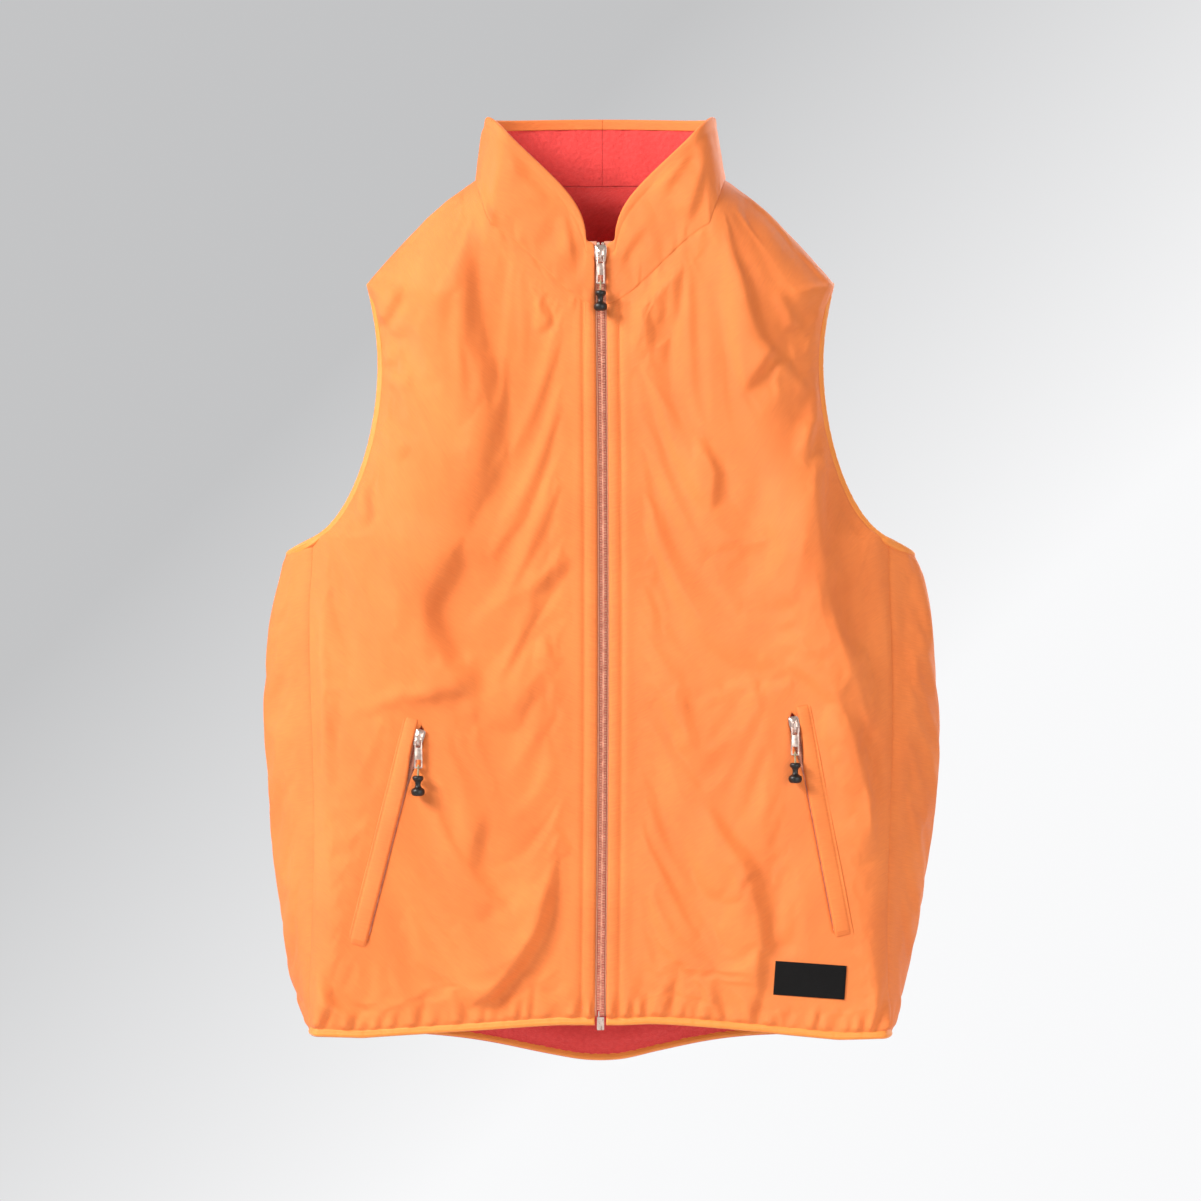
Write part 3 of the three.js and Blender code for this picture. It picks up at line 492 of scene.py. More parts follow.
# ---- Grids of points ----
def eased(count, ends=0.75):
    """Shares from 0 to 1, closer together at both ends."""
    q = np.linspace(0, 1, count)
    return lerp(q, q * q * (3 - 2 * q), ends)


def resampled(line, shares):
    """Points at those shares of a line's length."""
    run = run_along(line)
    return values_at(line, run, shares * run[-1])


def front_grid(edge=ZIP_EDGE, rows=180, columns=92):
    """From the zip across the flat front and round to the shoulder, armhole and side seam."""
    shares = eased(columns)
    p = np.linspace(0, 1, 70)
    top = neck_seam(p, edge)
    hem_x = lerp(edge, fold_x(HEM_SIDE[-1]), p)
    hem = np.stack([hem_x, hem_front_z(hem_x)], -1)
    grid = []
    for v in np.interp(eased(rows), [0, 0.15, 0.45, 1], [0, SHOULDER_END, ARMHOLE_END, 1]):
        down = (FOLD_NECK_Z - fold_z(v)) / (FOLD_NECK_Z - HEM_SIDE[-1])
        flat = lerp(top, hem, down)
        flat = xyz(flat[:, 0], -FRONT_DEPTH, flat[:, 1])
        u = np.sin(np.linspace(0, 1, 60)[1:] * np.pi / 2)
        grid.append(resampled(np.concatenate([flat, front_outer(u, v + 0 * u)]), shares))
    return np.array(grid)


def back_grid(rows=150, columns=150):
    shares = eased(columns)
    across = np.sin(np.linspace(-1, 1, 160) * np.pi / 2)
    return np.array([resampled(back_at(across, v + 0 * across), shares)
                     for v in np.interp(eased(rows), [0, 0.15, 0.45, 1], [0, SHOULDER_END, ARMHOLE_END, 1])])


def side_grid(rows=104, columns=40):
    shares = eased(columns)
    u = np.linspace(0, 1, 80)
    return np.array([resampled(side_panel(u, v + 0 * u), shares) for v in eased(rows)])


def collar_lines(edge, h):
    """The collar's line at height h, from the zip to the back's middle."""
    p = np.linspace(0, 1, 60)
    low = neck_seam(p, edge)
    turn = ((edge, NOTCH[1] - 7), (edge, NOTCH[1] - 2), (edge + 2, NOTCH[1]), NOTCH)
    corner = bezier(turn, np.linspace(0, 1, 9))
    slope = bezier((NOTCH, (13, -10), (38, 6), (fold_x(FOLD_COLLAR_Z), FOLD_COLLAR_Z)), np.linspace(0, 1, 52))
    top = np.concatenate([corner, slope[1:]])
    top = resampled(xyz(top[:, 0], 0, top[:, 1]), p)[:, [0, 2]]
    flat = lerp(low, top, h)
    t = np.linspace(1, 0, 90)[1:]
    return xyz(flat[:, 0], -FRONT_DEPTH, flat[:, 1]), collar_band(t, h + 0 * t)


def collar_grid(edge=ZIP_EDGE, heights=None, columns=(44, 66)):
    heights = eased(26, 0.5) if heights is None else heights
    grid = []
    for h in heights:
        flat, band = collar_lines(edge, h)
        ahead = resampled(flat, lerp(0, 1, np.linspace(0, 1, columns[0]) ** 1.25))
        band = np.concatenate([flat[-1:], band])
        grid.append(np.concatenate([ahead, resampled(band, np.linspace(0, 1, columns[1]))[1:]]))
    return np.array(grid)


TUCK = 1.8  # how far a panel runs on under its neighbour


def run_on(grid, top=False, start=False, finish=False):
    """Carries a grid on past its seams: past the first row, the first column or the last column."""
    if top:
        away = unit(grid[0] - grid[2])
        grid = np.concatenate([(grid[0] + away * TUCK)[None], grid])
    for wanted, a, b in ((start, 0, 2), (finish, -1, -3)):
        if wanted:
            away = unit(grid[:, a] - grid[:, b])
            extra = (grid[:, a] + away * TUCK)[:, None]
            grid = np.concatenate([extra, grid] if a == 0 else [grid, extra], 1)
    return grid


def tuck_under(away, depth=1.4):
    return -depth * (1 - smooth(away, 0, TUCK + 0.4))


class Patch:
    """A grid of points with its outward normals and each point's distance from the four edges."""

    def __init__(self, grid, side=1):
        self.grid = grid * [side, 1, 1]
        along = np.linalg.norm(np.diff(grid, axis=1), axis=2)
        down = np.linalg.norm(np.diff(grid, axis=0), axis=2)
        self.start = np.concatenate([np.zeros((len(grid), 1)), np.cumsum(along, 1)], 1)
        self.finish = self.start[:, -1:] - self.start
        self.top = np.concatenate([np.zeros((1, grid.shape[1])), np.cumsum(down, 0)], 0)
        self.bottom = self.top[-1:] - self.top
        self.normal = self.normals()
        self.lift = np.zeros(grid.shape[:2])

    def normals(self):
        across = np.gradient(self.grid, axis=1)
        down = np.gradient(self.grid, axis=0)
        n = np.cross(across, down)
        n /= np.maximum(np.linalg.norm(n, axis=-1, keepdims=True), 1e-9)
        self.turned = (n[..., :2] * self.grid[..., :2]).sum() < 0
        return -n if self.turned else n

    def nearest(self, start=0.0, top=0.0):
        """Distance to the nearest edge, with two of the edges taken as further off."""
        aside = np.minimum(self.start + start, self.finish)
        return np.minimum(aside, np.minimum(self.top + top, self.bottom))

    def area(self):
        across = np.diff(self.grid, axis=1)[:-1]
        down = np.diff(self.grid, axis=0)[:, :-1]
        return np.linalg.norm(np.cross(across, down), axis=-1).sum() * MM * MM

    def points(self):
        return self.grid + self.normal * self.lift[..., None]

    @property
    def x(self):
        return self.grid[..., 0]

    @property
    def z(self):
        return self.grid[..., 2]


# ---- Meshes ----
def link(name, mesh, material):
    mesh.materials.append(material)
    piece = bpy.data.objects.new(name, mesh)
    bpy.context.scene.collection.objects.link(piece)
    return piece


def grid_faces(rows, columns, flip=False, wrap=False):
    r = np.arange(rows - 1)[:, None]
    c = np.arange(columns if wrap else columns - 1)[None, :]
    d = (c + 1) % columns
    a, b = r * columns + c, r * columns + d
    quads = np.stack([a, b, b + columns, a + columns], -1).reshape(-1, 4)
    return quads[:, ::-1] if flip else quads


def mesh_of(name, points, faces, uv=None):
    mesh = bpy.data.meshes.new(name)
    corners = (np.asarray(points).reshape(-1, 3) * MM).tolist()
    mesh.from_pydata(corners, [], [list(map(int, f)) for f in faces])
    if uv is not None:
        loops = np.zeros(len(mesh.loops), np.int32)
        mesh.loops.foreach_get("vertex_index", loops)
        layer = mesh.uv_layers.new(name="cloth")
        layer.uv.foreach_set("vector", (np.asarray(uv).reshape(-1, 2)[loops] * MM).astype(np.float32).ravel())
    mesh.shade_smooth()
    return mesh


def cloth_piece(name, patch, material):
    rows, columns = patch.grid.shape[:2]
    uv = np.stack([patch.start, -patch.top], -1)
    faces = grid_faces(rows, columns, flip=patch.turned)
    return link(name, mesh_of(name, patch.points(), faces, uv), material)


def made_real(piece):
    """The piece with its modifiers made real."""
    graph = bpy.context.evaluated_depsgraph_get()
    mesh = bpy.data.meshes.new_from_object(piece.evaluated_get(graph), depsgraph=graph)
    piece.modifiers.clear()
    piece.data = mesh
    return piece


def refined(piece):
    smoother = piece.modifiers.new("smoother", "SUBSURF")
    smoother.levels = smoother.render_levels = 1
    smoother.boundary_smooth = "PRESERVE_CORNERS"
    return made_real(piece)


def thickened(piece, thick):
    layer = piece.modifiers.new("thickness", "SOLIDIFY")
    layer.thickness = thick * MM
    layer.offset = -1
    return made_real(piece)


def across_fold(x, y, z):
    """Place across the line on which a front folds open: below 0 is behind it, above 0 is on the front."""
    beside, below = FOLD_NORMAL
    return -beside * (np.abs(x) - FOLD_TOP[0]) - (y + FRONT_DEPTH) - below * (z - FOLD_TOP[1])


def bend_share(patch):
    """1 where a front bends when it opens: shell and lining keep apart there."""
    value = across_fold(*np.moveaxis(patch.grid, -1, 0))
    ahead = patch.grid[..., 1] < 0
    return smooth(value, -58, -38) * (1 - smooth(value, 8, 26)) * ahead


def deepest(patch):
    """How far the shell may sink before it would touch the lining."""
    nearest = patch.nearest(start=12, top=4)
    return -lerp(1.3, 3.2, smooth(nearest, 8, 24)) + 1.6 * bend_share(patch) * smooth(nearest, 14, 30)


def settle(piece, patch, hold, grow=0.008, frames=14, cap=2.6):
    """Lets the cloth buckle a little, and keeps it clear of the lining."""
    before = np.zeros(len(piece.data.vertices) * 3, np.float32)
    piece.data.vertices.foreach_get("co", before)
    simulate(piece, hold, grow, frames)
    after = np.zeros(len(before), np.float32)
    piece.data.vertices.foreach_get("co", after)
    moved = (after - before).reshape(-1, 3)
    length = np.linalg.norm(moved, axis=1, keepdims=True)
    limited = moved * np.minimum(1, cap * MM / np.maximum(length, 1e-9))
    place = (before.reshape(-1, 3) + limited) / MM
    normal = patch.normal.reshape(-1, 3)
    floor = deepest(patch).ravel()
    above = ((place - patch.grid.reshape(-1, 3)) * normal).sum(1) - floor
    kept = np.where(above > 1, above, np.exp(np.minimum(above, 1) - 1))
    place += normal * (kept - above)[:, None]
    piece.data.vertices.foreach_set("co", (place * MM).astype(np.float32).ravel())
    piece.data.update()
    return piece


def simulate(piece, hold, grow, frames):
    """Cloth cut a little larger than its place, held firmly by its edges and weakly all over."""
    group = piece.vertex_groups.new(name="hold")
    share = np.round(np.clip(hold.ravel(), 0, 1) * 20) / 20
    for value in np.unique(share):
        if value > 0:
            group.add(np.flatnonzero(share == value).tolist(), float(value), "REPLACE")
    cloth = piece.modifiers.new("cloth", "CLOTH")
    settings = cloth.settings
    settings.quality = 5
    settings.mass = 0.12
    settings.tension_stiffness = settings.compression_stiffness = 22
    settings.shear_stiffness = 8
    settings.bending_stiffness = 0.12
    settings.shrink_min = -grow
    settings.vertex_group_mass = "hold"
    settings.effector_weights.gravity = 0.4
    cloth.collision_settings.use_collision = False
    cloth.point_cache.frame_start = 1
    cloth.point_cache.frame_end = frames
    scene = bpy.context.scene
    for step in range(1, frames + 1):
        scene.frame_set(step)
    made_real(piece)
    scene.frame_set(1)


# ---- Folds and gathers ----
LIGHT_SIDE = np.array([-0.8, 0.6])  # a fold's crest lies towards the upper left of its shaded flank


def curve_through(points, per=5):
    """A smooth line through a few points."""
    p = np.array(points, float)
    p = np.concatenate([2 * p[:1] - p[1:2], p, 2 * p[-1:] - p[-2:-1]])
    t = np.linspace(0, 1, per, endpoint=False)[:, None]
    parts = []
    for a, b, c, d in zip(p, p[1:], p[2:], p[3:]):
        parts.append(0.5 * (2 * b + (c - a) * t + (2 * a - 5 * b + 4 * c - d) * t**2
                            + (3 * b - a - 3 * c + d) * t**3))
    return np.concatenate(parts + [p[-2:-1]])


def fold(x, z, points, depth, sharp, soft, valley=0.4):
    """How far one fold lifts the cloth: a gentle rise up to its crest, then a short steep flank and a dip."""
    line = curve_through(points)
    chord = line[-1] - line[0]
    sign = 1.0 if np.dot([chord[1], -chord[0]], LIGHT_SIDE) < 0 else -1.0
    here = np.stack([x, z], -1)
    best = np.full(x.shape, 1e9)
    signed = np.zeros(x.shape)
    place = np.zeros(x.shape)
    for i, (a, b) in enumerate(zip(line, line[1:])):
        along = b - a
        length = np.hypot(*along)
        t = np.clip(((here - a) @ along) / length**2, 0, 1)
        off = here - a - t[..., None] * along
        distance = np.hypot(off[..., 0], off[..., 1])
        nearer = distance < best
        best = np.where(nearer, distance, best)
        way = np.array([along[1], -along[0]]) * sign / length
        signed = np.where(nearer, np.where(off @ way < 0, -distance, distance), signed)
        place = np.where(nearer, (i + t) / (len(line) - 1), place)
    crest = np.exp(-(((signed + sharp) / np.where(signed < -sharp, soft, sharp * 1.1)) ** 2))
    dip = np.exp(-(((signed - sharp) / np.where(signed > sharp, soft * 0.7, sharp)) ** 2))
    fade = smooth(place, 0, 0.25) * (1 - smooth(place, 0.75, 1)) * 0.85 + 0.15
    return depth * fade * (crest - valley * dip)


def gathers(along, away, seed, spacing=16.0, reach=(9.0, 30.0), depth=1.6, lean=0.15, clear=7.5):
    """Puckers that run off an elastic edge. along is the place on the edge and away the distance from it."""
    draw = np.random.default_rng(seed)
    lift = np.zeros(along.shape)
    place = along.min() + spacing * 0.3
    while place < along.max():
        height = draw.uniform(*reach)
        width = draw.uniform(1.5, 3.0)
        tilt = draw.normal(0, lean)
        strength = draw.uniform(0.5, 1.0) * depth
        d = along - place - tilt * away
        grown = width * (1 + away / height)
        crest = np.exp(-((d / grown) ** 2)) - 0.8 * np.exp(-(((d - 1.7 * grown) / (grown * 0.8)) ** 2))
        lift += strength * crest * np.exp(-((away / height) ** 2))
        place += spacing * draw.uniform(0.5, 1.5)
    return lift * smooth(away, clear - 2.5, clear + 2.5)


def billows(x, z, seed, size, depth, tall=1.6):
    """Slow random swelling of the cloth, longer upright than across."""
    draw = np.random.default_rng(seed)
    total = np.zeros(x.shape)
    for _ in range(14):
        angle = draw.uniform(-0.7, 0.7)
        pitch = size * draw.uniform(0.7, 1.8)
        across = x * math.cos(angle) + z * math.sin(angle) / tall
        total += np.sin(across / pitch * 2 * np.pi + draw.uniform(0, 6.3)) * draw.uniform(0.4, 1.0)
    return total * depth / 3.2


# Folds of the two fronts, in X and Z as seen from the front: points, depth, sharp side, soft side.
FRONT_FOLDS = {
    -1: [
        (((-114, -30), (-109, -69), (-99, -125), (-89, -156), (-92, -228), (-114, -285)), 6.0, 15, 46),
        (((-114, -285), (-129, -317), (-138, -354), (-113, -407), (-107, -431)), 5.0, 13, 40),
        (((-166, -79), (-181, -113)), 3.0, 4, 10),
        (((-169, -139), (-181, -149)), 1.8, 3, 7),
        (((-155, -165), (-181, -165)), 1.8, 3, 7),
        (((-184, -192), (-172, -204), (-155, -216)), 2.4, 4, 10),
        (((-197, -244), (-192, -280)), 2.4, 4, 10),
        (((-53, -89), (-40, -115)), 1.6, 3, 8),
        (((-24, -311), (-44, -328), (-64, -339)), 2.2, 6, 14),
        (((-49, -373), (-41, -394)), 1.4, 3, 8),
        (((-92, -517), (-104, -564), (-79, -604)), 3.2, 8, 22),
        (((-36, -539), (-24, -556)), 1.6, 4, 8),
        (((-39, -558), (-51, -622), (-86, -671), (-110, -690)), 4.6, 7, 24),
        (((-141, -505), (-136, -520)), 1.6, 4, 8),
        (((-239, -656), (-222, -684), (-193, -706)), 3.4, 6, 16),
        (((-21, -669), (-33, -699)), 1.8, 3, 7),
        (((-228, -330), (-226, -420), (-232, -520)), 3.0, 9, 18),
    ],
    1: [
        (((112, -40), (125, -79), (135, -110), (145, -128), (179, -156)), 4.6, 6, 20),
        (((148, -130), (136, -150), (122, -169)), 2.6, 4, 12),
        (((150, -79), (171, -115)), 2.4, 4, 10),
        (((148, -139), (162, -152), (179, -168)), 2.2, 4, 9),
        (((181, -195), (176, -221)), 2.6, 5, 9),
        (((189, -202), (189, -260), (197, -311), (200, -339), (216, -394), (240, -462)), 6.0, 12, 34),
        (((207, -425), (225, -493), (240, -567)), 4.2, 8, 20),
        (((76, -64), (50, -100), (29, -146)), 2.6, 8, 20),
        (((29, -45), (20, -66)), 1.6, 3, 7),
        (((81, -202), (99, -234), (95, -272)), 2.2, 5, 16),
        (((68, -412), (80, -475)), 1.8, 6, 16),
        (((129, -407), (134, -434)), 1.4, 4, 8),
        (((83, -502), (108, -542), (133, -582), (139, -647), (135, -699)), 4.4, 6, 26),
    ],
}
# The back isn't seen: four long, soft folds.
BACK_FOLDS = [
    (((-60, -60), (-80, -260), (-70, -480)), 3.0),
    (((70, -90), (95, -300), (80, -520)), 3.4),
    (((-160, -330), (-150, -520), (-165, -690)), 3.0),
    (((150, -360), (165, -690)), 2.6),
]
COLLAR_FOLDS = {
    -1: [
        (((-104, 12), (-98, -8), (-86, -30)), 2.6, 4, 14),
        (((-78, 30), (-60, 8), (-38, -10)), 1.8, 5, 16),
        (((-30, -18), (-25, -38), (-22, -60)), 1.6, 3, 8),
    ],
    1: [
        (((88, 24), (83, -2), (74, -28)), 3.0, 4, 14),
        (((78, 34), (66, 14), (52, -6)), 1.6, 4, 14),
        (((40, -30), (26, -48), (18, -64)), 1.8, 4, 10),
    ],
}
FOLD_STRENGTH = 1.7  # times the depths of the fronts' folds
BOW = 2.4  # how far the zip bends to the wearer's left at mid-height
SWAY = 2.6  # how far the side seams wander
DROOP = 1.6  # how far the hem rises and falls


def hung(points):
    """Where the cloth hangs: the zip in a slight bow, the side seams and the hem not quite straight."""
    x, y, z = np.moveaxis(points, -1, 0)
    share = np.clip((-z - 60) / 620, 0, 1)
    bow = BOW * np.sin(np.pi * share) * np.exp(-((x / 80) ** 2)) * np.where(y < 0, 1, 0)
    beside = smooth(np.abs(x), 205, 242) * smooth(-z, 300, 350) * (1 - smooth(-z, 660, 712))
    sway = SWAY * np.sin(-z / 62 + np.sign(x)) * beside
    droop = DROOP * np.sin(x / 47 + 1) * smooth(-z, 590, 700) * smooth(np.abs(x), 14, 50)
    return xyz(x + bow + sway, y, z + droop)


def hang(piece):
    co = np.zeros(len(piece.data.vertices) * 3, np.float32)
    piece.data.vertices.foreach_get("co", co)
    moved = hung(co.reshape(-1, 3) / MM) * MM
    piece.data.vertices.foreach_set("co", moved.astype(np.float32).ravel())
    piece.data.update()
    return piece


NAMES = {1: "left", -1: "right"}
SHELL_THICK = 0.7
FLEECE_THICK = 2.0
PATCH_THICK = 0.5  # one layer of a welt or of the label


def flap_blend(piece):
    """Bakes the piece's placement into its mesh."""
    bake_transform(piece)


def stand_for(piece, body, slot, *nodes):
    """Puts a piece on one body, in the place of CAD nodes."""
    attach(piece, body)
    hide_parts(*nodes)


def sheet_of(patch):
    """Works out a sheet of cloth's widest row, longest column and area from its grid; nothing uses them."""
    width = float(patch.start[:, -1].max()) * MM
    length = float(patch.top[-1].max()) * MM
    area = min(float(patch.area()), width * length)


# Each pocket slit's upper end in X and Z, and how many degrees it leans.
POCKET = {1: (161.0, -440.0, 10.8), -1: (-150.0, -451.0, 14.2)}
POCKET_LENGTH = 186.0


def pocket_frame(side, x, z):
    """Place in a pocket slit's own frame: distance to its outer side, and distance down along it."""
    px, pz, tilt = POCKET[side]
    angle = math.radians(tilt)
    dx, dz = (x - px) * side, z - pz
    return dx * math.cos(angle) + dz * math.sin(angle), dx * math.sin(angle) - dz * math.cos(angle)


def pocket_place(side, out, down):
    """The way back: X and Z of a place in a pocket slit's own frame."""
    px, pz, tilt = POCKET[side]
    angle = math.radians(tilt)
    x = px + side * (out * math.cos(angle) + down * math.sin(angle))
    return x, pz + out * math.sin(angle) - down * math.cos(angle)


def edge_sink(away, near=5.0, far=11.0, depth=1.1):
    """Cloth drawn in where an edging grips it."""
    return -depth * (1 - smooth(away, near, far))


def seam_groove(away, depth=1.3, wide=2.2):
    return -depth * np.exp(-((away / wide) ** 2))


def armhole_share(z):
    """1 at the height of the armhole's elastic, falling to 0 above and below."""
    return smooth(z, -300, -285) * (1 - smooth(z, -92, -80))


def label_share(patch, side):
    """1 where the label is sewn on, falling to 0 beside it."""
    low, high = box_of("hem_label")
    beside = np.maximum(low[0] - patch.x, patch.x - high[0])
    beyond = np.maximum(beside, np.maximum(low[2] - patch.z, patch.z - high[2]))
    ahead = patch.grid[..., 1] < -FRONT_DEPTH * 0.8
    return (1 - smooth(beyond, 1, 14)) * ahead * (side > 0)


def front_lift(patch, side):
    x, z = patch.x, patch.z
    lift = np.zeros(x.shape)
    for points, depth, sharp, soft in FRONT_FOLDS[side]:
        lift += fold(x, z, points, FOLD_STRENGTH * depth, sharp, soft)
    lift += billows(x, z, 40 + side, 62, 1.1) + billows(x, z, 50 + side, 24, 0.28)
    out, down = pocket_frame(side, x, z)
    beside = np.exp(-((out / 22) ** 4)) * smooth(down, -26, 0) * (1 - smooth(down, 190, 212))
    unlabelled = 1 - label_share(patch, side)
    lift = lift * (1 - 0.92 * beside) * unlabelled
    lift *= smooth(patch.start, 9, 40) * smooth(patch.finish, 3, 22)
    lift *= smooth(patch.bottom, 4, 30) * smooth(patch.top, 3, 26)
    lift += gathers(x, patch.bottom, 60 + side, spacing=12, reach=(8, 34), depth=5.0) * unlabelled
    armhole = armhole_share(z)
    lift += gathers(z, patch.finish, 70 + side, spacing=14, reach=(7, 22), depth=1.7) * armhole
    lift += gathers(x, patch.top, 80 + side, spacing=24, reach=(6, 16), depth=0.8, clear=2) * (1 - beside)
    lift += edge_sink(patch.bottom) + edge_sink(patch.finish) * armhole
    lift += seam_groove(patch.finish, 0.5, 3) * (1 - armhole) + seam_groove(patch.top, 0.5, 4)
    # Beside the zip: a rounded edge, a stitched groove and a slight ridge behind it.
    lift += 0.9 * np.exp(-(((patch.start - 5.2) / 3.6) ** 2))
    lift -= 1.0 * np.exp(-(((patch.start - 11) / 1.5) ** 2))
    lift += 0.5 * np.exp(-(((patch.start - 16) / 4.0) ** 2))
    lift -= 1.1 * np.exp(-((patch.start / 0.9) ** 2))
    return lift


def slit_half(down):
    """Half the width that a pocket's slit gapes, by distance down along it."""
    wide = 0.9 + 3.4 * (1 - smooth(down, 22, 58))
    return wide * smooth(down, -1.0, 5.0) * (1 - smooth(down, 178, 187)) + 0.05


def cut_slit(piece, side):
    """Opens the pocket's slit in the shell and turns its lips in."""
    bm = bmesh.new()
    bm.from_mesh(piece.data)
    reach = 1.5

    def where(co):
        out, down = pocket_frame(side, co.x / MM, co.z / MM)
        return out, down, co.y < -FRONT_DEPTH * MM * 0.8

    def inside(face):
        out, down, ahead = where(face.calc_center_median())
        return ahead and 0 < down < POCKET_LENGTH and abs(out) < max(reach, float(slit_half(down)))

    bmesh.ops.delete(bm, geom=[f for f in bm.faces if inside(f)], context="FACES")

    def put(co, out, down):
        x, z = pocket_place(side, out, down)
        co.x, co.z = x * MM, z * MM

    rim = []
    for edge in bm.edges:
        if not edge.is_boundary:
            continue
        spots = [where(v.co) for v in edge.verts]
        if all(s[2] and -6 < s[1] < POCKET_LENGTH + 6 and abs(s[0]) < 9 for s in spots):
            rim.append(edge)
    for v in {v for e in rim for v in e.verts}:
        out, down, _ = where(v.co)
        half = float(slit_half(min(max(down, 0.5), POCKET_LENGTH - 0.5)))
        put(v.co, math.copysign(half, out), down)
    for inward, back in ((0.5, 0.5), (0.2, 1.6)):
        made = bmesh.ops.extrude_edge_only(bm, edges=rim)["geom"]
        rim = [g for g in made if isinstance(g, bmesh.types.BMEdge) and g.is_boundary]
        for v in [g for g in made if isinstance(g, bmesh.types.BMVert)]:
            out, down, _ = where(v.co)
            put(v.co, math.copysign(max(abs(out) - inward, 0.02), out), down)
            v.co.y += back * MM
    bm.to_mesh(piece.data)
    bm.free()


def hold_near(patch, far=26.0, low=0.12):
    """How firmly the cloth is held: fully at its edges, weakly further in."""
    return lerp(1.0, low, smooth(patch.nearest(), 6, far))


def fleece_panel(name, patch):
    return thickened(hang(refined(cloth_piece(name, patch, LINING))), FLEECE_THICK)


def make_front(side):
    name = NAMES[side]
    patch = Patch(front_grid(), side)
    patch.lift = front_lift(patch, side)
    piece = cloth_piece(f"shell_front_{name}_cloth", patch, SHELL)
    out, down = pocket_frame(side, patch.x, patch.z)
    pocket = (np.abs(out) < 24) & (down > -20) & (down < POCKET_LENGTH + 16)
    hold = np.maximum(hold_near(patch), np.where(pocket | (label_share(patch, side) > 0.5), 1.0, 0.0))
    hold = np.maximum(hold, 1 - smooth(patch.start, 18, 40))
    settle(piece, patch, hold)
    refined(piece)
    hang(piece)
    cut_slit(piece, side)
    thickened(piece, SHELL_THICK)
    sheet_of(patch)
    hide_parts(f"shell_front_{name}", f"shell_front_outer_{name}")
    flap_blend(piece)


def make_front_lining(side):
    name = NAMES[side]
    patch = Patch(front_grid(edge=ZIP_EDGE + 4.2, rows=90, columns=44), side)
    nearest = np.minimum(patch.finish, np.minimum(patch.bottom, patch.top + 4))
    patch.lift = billows(patch.x, patch.z, 90 + side, 40, 0.5) * smooth(nearest, 4, 30)
    patch.lift -= lerp(1.8, 5.6, smooth(nearest, 5, 22))
    patch.lift -= 3.4 * bend_share(patch) * smooth(nearest, 10, 30)
    piece = fleece_panel(f"lining_front_{name}_fleece", patch)
    sheet_of(patch)
    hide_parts(f"lining_front_{name}", f"lining_front_outer_{name}")
    flap_blend(piece)


def make_back():
    patch = Patch(back_grid())
    x, z = patch.x, patch.z
    lift = billows(x, z, 11, 90, 2.4, tall=3.0) + billows(x, z, 12, 34, 0.5, tall=2.0)
    for points, depth in BACK_FOLDS:
        lift += fold(x, z, points, depth, 12, 34)
    lift *= smooth(patch.start, 3, 30) * smooth(patch.finish, 3, 30)
    lift *= smooth(patch.bottom, 4, 30) * smooth(patch.top, 3, 30)
    lift += gathers(x, patch.bottom, 13, spacing=14, reach=(9, 36), depth=4.2)
    armhole = armhole_share(z)
    for away, seed in ((patch.start, 14), (patch.finish, 15)):
        lift += gathers(z, away, seed, spacing=15, reach=(7, 18), depth=1.0) * armhole
        lift += edge_sink(away) * armhole + seam_groove(away, 0.5, 3) * (1 - armhole)
    patch.lift = lift + edge_sink(patch.bottom) + seam_groove(patch.top, 0.5, 4)
    piece = cloth_piece("shell_back_cloth", patch, SHELL)
    settle(piece, patch, hold_near(patch))
    thickened(hang(refined(piece)), SHELL_THICK)
    sheet_of(patch)
    stand_for(piece, "root", "shell", "shell_back")


def make_back_lining():
    patch = Patch(back_grid(rows=90, columns=80))
    nearest = patch.nearest(top=4)
    patch.lift = billows(patch.x, patch.z, 16, 60, 1.6, tall=2.4) * smooth(nearest, 4, 40)
    patch.lift -= gathers(patch.x, patch.bottom, 13, spacing=18, reach=(9, 34), depth=0.8)
    patch.lift -= lerp(1.9, 5.8, smooth(nearest, 5, 22))
    piece = fleece_panel("lining_back_fleece", patch)
    sheet_of(patch)
    stand_for(piece, "root", "lining", "lining_back")


def make_side(side):
    name = NAMES[side]
    patch = Patch(run_on(side_grid(), start=True, finish=True), side)
    z, across = patch.z, patch.start
    lift = billows(across, z, 20 + side, 48, 1.6, tall=2.0) + billows(across, z, 23 + side, 20, 0.35)
    lift *= smooth(patch.start, 2, 22) * smooth(patch.finish, 2, 22)
    lift *= smooth(patch.bottom, 4, 30) * smooth(patch.top, 4, 26)
    lift += gathers(across, patch.bottom, 26 + side, spacing=13, reach=(9, 32), depth=2.4)
    lift += gathers(across, patch.top, 29 + side, spacing=13, reach=(7, 20), depth=1.2)
    lift += edge_sink(patch.bottom) + edge_sink(patch.top)
    lift += seam_groove(patch.start, 0.7, 4) + seam_groove(patch.finish, 0.7, 4)
    patch.lift = lift + tuck_under(patch.start) + tuck_under(patch.finish)
    piece = cloth_piece(f"shell_side_{name}_cloth", patch, SHELL)
    settle(piece, patch, hold_near(patch))
    thickened(hang(refined(piece)), SHELL_THICK)
    sheet_of(patch)
    stand_for(piece, "root", "shell", f"shell_side_{name}")
    inner = Patch(side_grid(rows=60, columns=26), side)
    nearest = np.minimum(inner.top, inner.bottom)
    inner.lift = -lerp(1.8, 5.0, smooth(nearest, 5, 22))
    inner.lift += billows(inner.start, inner.z, 33 + side, 40, 0.6) * smooth(nearest, 4, 30)
    fleece_piece = fleece_panel(f"lining_side_{name}_fleece", inner)
    sheet_of(inner)
    stand_for(fleece_piece, "root", "lining", f"lining_side_{name}")


COLLAR_THICK = 4.8
COLLAR_FLEECE_THICK = 1.6
FACING_WIDE = 7.0
UNDERLAP = 0.05  # how far the right half lies under the left one at the back's middle


